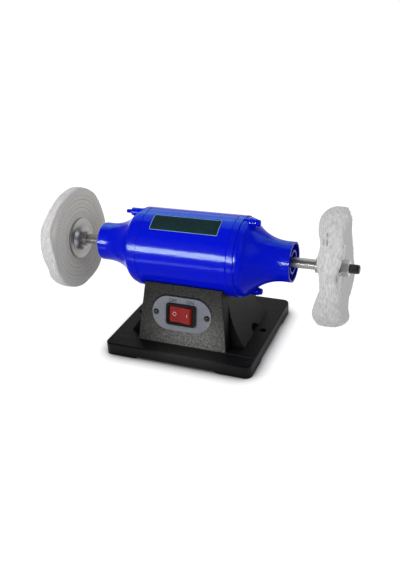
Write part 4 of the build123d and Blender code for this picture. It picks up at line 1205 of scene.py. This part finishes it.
@dataclass(frozen=True)
class SoftBox:
    """A rectangular soft light for a group of objects. Its sizes are in metres."""

    name: str
    group: str
    spot: tuple[float, float, float]  # where it stands
    aim: tuple[float, float, float]  # the point that it faces
    size: tuple[float, float]
    power: float  # in watts
    colour: tuple[float, float, float] = (1.0, 1.0, 1.0)
    diffuse: bool = True  # whether it lights matt surfaces
    gloss: bool = True  # whether glossy surfaces mirror it

    def place(self, shines_on: Collection) -> None:
        """Puts the light in the scene.

        Args:
            shines_on: The group of objects that it is for.
        """
        data = bpy.data.lights.new(self.name, "AREA")
        data.shape = "RECTANGLE"
        data.size, data.size_y = self.size
        data.energy = self.power
        data.color = self.colour
        light = to_scene(self.name, data)
        look = Vector(self.aim) - Vector(self.spot)
        light.rotation_euler = look.to_track_quat("-Z", "Y").to_euler()
        light.location = self.spot
        light.visible_camera = False
        light.visible_diffuse = self.diffuse
        light.visible_glossy = self.gloss
        light.light_linking.receiver_collection = shines_on


WHITE = (1.0, 1.0, 1.0, 1.0)
PALE_SKY = (0.8, 1.0, 0.6)
BLUE_SKY = (0.4, 1.0, 0.5)
MIDDLE = (0.0, 0.0, 0.13)
matt_light = partial(SoftBox, gloss=False)
reflector = partial(SoftBox, diffuse=False)
side_light = SoftBox("side", "dull_pieces", (2.9, -0.7, 1.6), (0.0, 0.0, 0.12), (1.8, 1.8), 24.0)
LIGHTS = (
    matt_light("main", "upper_pieces", (-0.9, -1.45, 0.95), (0.0, 0.0, 0.1), (1.2, 1.0), 20.0),
    side_light,
    # The enamel has its own side light, tinted like the sky that it mirrors.
    replace(side_light, name="side_sky", group="gloss_enamel", colour=(0.5, 1.0, 1.0)),
    # Stands in for the light that the paper throws up at the panel's foot.
    matt_light(
        "panel_light", "base_only", (0.018, -0.115, 0.038), (0.018, -0.066, 0.045), (0.09, 0.02), 0.2
    ),
    # What the enamel mirrors: two strips in front and two boxes behind.
    reflector(
        "strip", "gloss_enamel", (-0.29, -0.62, 0.29), (-0.1, 0.0, 0.14), (0.60, 0.16), 45.0, PALE_SKY
    ),
    reflector(
        "low_strip", "gloss_enamel", (-0.16, -0.36, 0.03), (-0.05, 0.0, 0.1), (0.40, 0.05), 0.9, PALE_SKY
    ),
    reflector(
        "rear_box", "gloss_enamel", (0.0, 0.60, 1.15), (0.0, 0.0, 0.14), (2.2, 0.9), 36.0, BLUE_SKY
    ),
    reflector(
        "back_box", "gloss_enamel", (-0.55, 1.15, 0.95), (0.0, 0.0, 0.18), (1.6, 0.8), 12.0, BLUE_SKY
    ),
    # What the steel mirrors.
    reflector("steel_front", "bare_steel", (-0.5, -1.2, 0.65), MIDDLE, (1.2, 0.8), 0.8),
    reflector("steel_top", "bare_steel", (-0.3, 0.25, 1.0), MIDDLE, (1.8, 0.8), 4.5),
    reflector("steel_key", "bare_steel", (-0.24, -0.80, 0.17), MIDDLE, (0.7, 0.05), 2.2),
)


@dataclass
class Studio:
    """The camera of the photograph, a pale floor and soft light."""

    azimuth: float = 24.535  # where the camera stands, from the front to the right, in degrees
    elevation: float = 27.612  # how far it looks down, in degrees
    roll: float = -4.266  # its turn about its own line of sight, in degrees
    distance: float = 970.2  # from the point that it looks at
    target: tuple[float, float, float] = (-0.55, 8.53, 72.92)
    focal: float = 670.118  # in pixels of the picture
    picture: int = 570  # height of the picture, in pixels
    shadow: float = 26.0  # width of the shadow where the base meets the floor
    floor_half: float = 30000.0  # half the floor's width

    def camera(self) -> None:
        """Places the camera as the photograph was taken."""
        turn, tilt, roll = (math.radians(a) for a in (self.azimuth, self.elevation, self.roll))
        flat = math.cos(tilt)
        back = Vector((math.sin(turn) * flat, -math.cos(turn) * flat, math.sin(tilt)))
        level = Vector((math.cos(turn), math.sin(turn), 0.0))
        upright = back.cross(level)
        right = level * math.cos(roll) + upright * math.sin(roll)
        up = upright * math.cos(roll) - level * math.sin(roll)
        data = bpy.data.cameras.new("photo_camera")
        data.sensor_width = 36.0
        data.lens = self.focal / self.picture * data.sensor_width
        data.clip_end = 100.0
        camera = to_scene("photo_camera", data)
        axes = Matrix((right, up, back)).transposed().to_4x4()
        spot = Vector(self.target) * MM + back * self.distance * MM
        camera.matrix_world = Matrix.Translation(spot) @ axes
        bpy.context.scene.camera = camera

    def seen(self, add: AddNode) -> Link:
        """Adds the nodes that tell how a surface is looked at.

        Args:
            add: Adds a node to a material or world.

        Returns:
            1 for camera, mirror and see-through rays, and 0 for others.
        """
        path = add("LightPath")
        total: Link = path.outputs["Is Camera Ray"]
        for kind in ("Is Glossy Ray", "Is Transmission Ray"):
            total = add("Math", {0: total, 1: path.outputs[kind]}, operation="MAXIMUM")
        return total

    def floor(self) -> Object:
        """Lays a wide pale floor that keeps the object's shadow.

        Returns:
            The floor.
        """
        bm = bmesh.new()
        bmesh.ops.create_grid(bm, x_segments=1, y_segments=1, size=self.floor_half * MM)
        floor = to_scene("floor", to_mesh(bm, "floor"))
        material = bpy.data.materials.new("white_paper_sweep")
        add = partial(add_node, bare_tree(material))
        # The shadow is deep where the base meets the paper and gone within a finger's width.
        near = add("AmbientOcclusion", {"Distance": self.shadow * MM}, samples=16)
        lit = add("MapRange", {"Value": near.outputs["AO"], "From Min": 0.5, "From Max": 0.95})
        share = add("MapRange", {"Value": self.seen(add), "To Min": 0.45, "To Max": 0.85})
        strength = add("Math", {0: lit, 1: share}, operation="MULTIPLY")
        paper = add("BsdfDiffuse", {"Color": linear("#B4B4B4")})
        glow = add("Emission", {"Strength": strength})
        mixed = add("AddShader", {0: paper, 1: glow})
        add("OutputMaterial", {"Surface": mixed})
        floor.data.materials.append(material)
        return floor

    def world(self) -> None:
        """Makes the surroundings: white behind, a darker room over it in gloss, a plain fill."""
        world = bpy.data.worlds.new("studio")
        bpy.context.scene.world = world
        add = partial(add_node, bare_tree(world))
        # The backdrop climbs behind the object, so its upper edge is higher there than in front.
        heading = {0: add("TexCoord").outputs["Generated"], 1: (0.0, -0.45, 0.89)}
        rise = add("VectorMath", heading, operation="DOT_PRODUCT")
        sweep = add("MapRange", {"Value": rise, "From Min": 0.0, "From Max": 0.25})
        over_it = {0: sweep, 1: add("LightPath").outputs["Is Camera Ray"]}
        room = add("Math", over_it, operation="SUBTRACT", use_clamp=True)
        both = {SHARE: room, FIRST: WHITE, SECOND: linear("#7C8082")}
        tone = add("Mix", both, data_type="RGBA")
        shown = add("Background", {"Color": tone})
        fill = add("Background", {"Color": WHITE, "Strength": 0.62})
        mixed = add("MixShader", {0: self.seen(add), 1: fill, 2: shown})
        add("OutputWorld", {"Surface": mixed})

    def build(self, base: Object, enamel: list[Object], steel: list[Object]) -> None:
        """Builds the whole studio.

        Args:
            base: The casting, which has a light of its own.
            enamel: The glossy blue pieces.
            steel: The bare metal pieces.
        """
        self.camera()
        self.world()
        # Only the surroundings light the floor.
        floor = self.floor()
        groups = {
            "upper_pieces": ([floor, base], "EXCLUDE"),
            "dull_pieces": ([floor, base] + enamel, "EXCLUDE"),
            "gloss_enamel": (enamel, "INCLUDE"),
            "bare_steel": (steel, "INCLUDE"),
            "base_only": ([base], "INCLUDE"),
        }
        for name, (members, state) in groups.items():
            group = bpy.data.collections.new(name)
            for member in members:
                group.objects.link(member)
            for row in group.collection_objects:
                row.light_linking.link_state = state
        for light in LIGHTS:
            light.place(bpy.data.collections[light.group])
        bpy.context.scene.view_settings.view_transform = "Standard"


def main() -> None:
    """Builds and dresses every piece."""
    logging.basicConfig(level=logging.INFO, format="%(name)s: %(message)s")
    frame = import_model()
    nodes = frame["nodes"]
    dress_nodes(frame)

    loose = LooseBuff()
    loose.build()
    loose.build_threads()
    stitched = StitchedBuff()
    stitched.build()
    stitched.build_stitching()

    LabelPlate().build()

    switch = SwitchFace()
    switch.build_marks(nodes["rocker"])
    switch.build_words()
    screws = switch.build_screws()

    for side, start, end in (("right", 215.2, 227.0), ("left", -227.0, -215.2)):
        ScrewThread(
            f"{side}_arbor_thread", start, end, root=6.03, depth=0.32, pitch=1.75, finish=WORN_OXIDE
        ).build()
    for place, angle in (("top", 90.0), ("bottom", -90.0)):
        ScrewThread(
            f"{place}_tie_bolt_thread", -100.3, -91.9, root=2.52, depth=0.22, pitch=0.9,
            finish=BELL_ENAMEL, centre=(51.0, angle), body="frame", slot="blue_enamel_bolts",
        ).build()

    enamel = [nodes[name] for name in ENAMELLED]
    steel = [nodes[name] for name in BARE_STEEL] + [screws]
    Studio().build(nodes["base_casting"], enamel, steel)


if __name__ == "__main__":
    main()
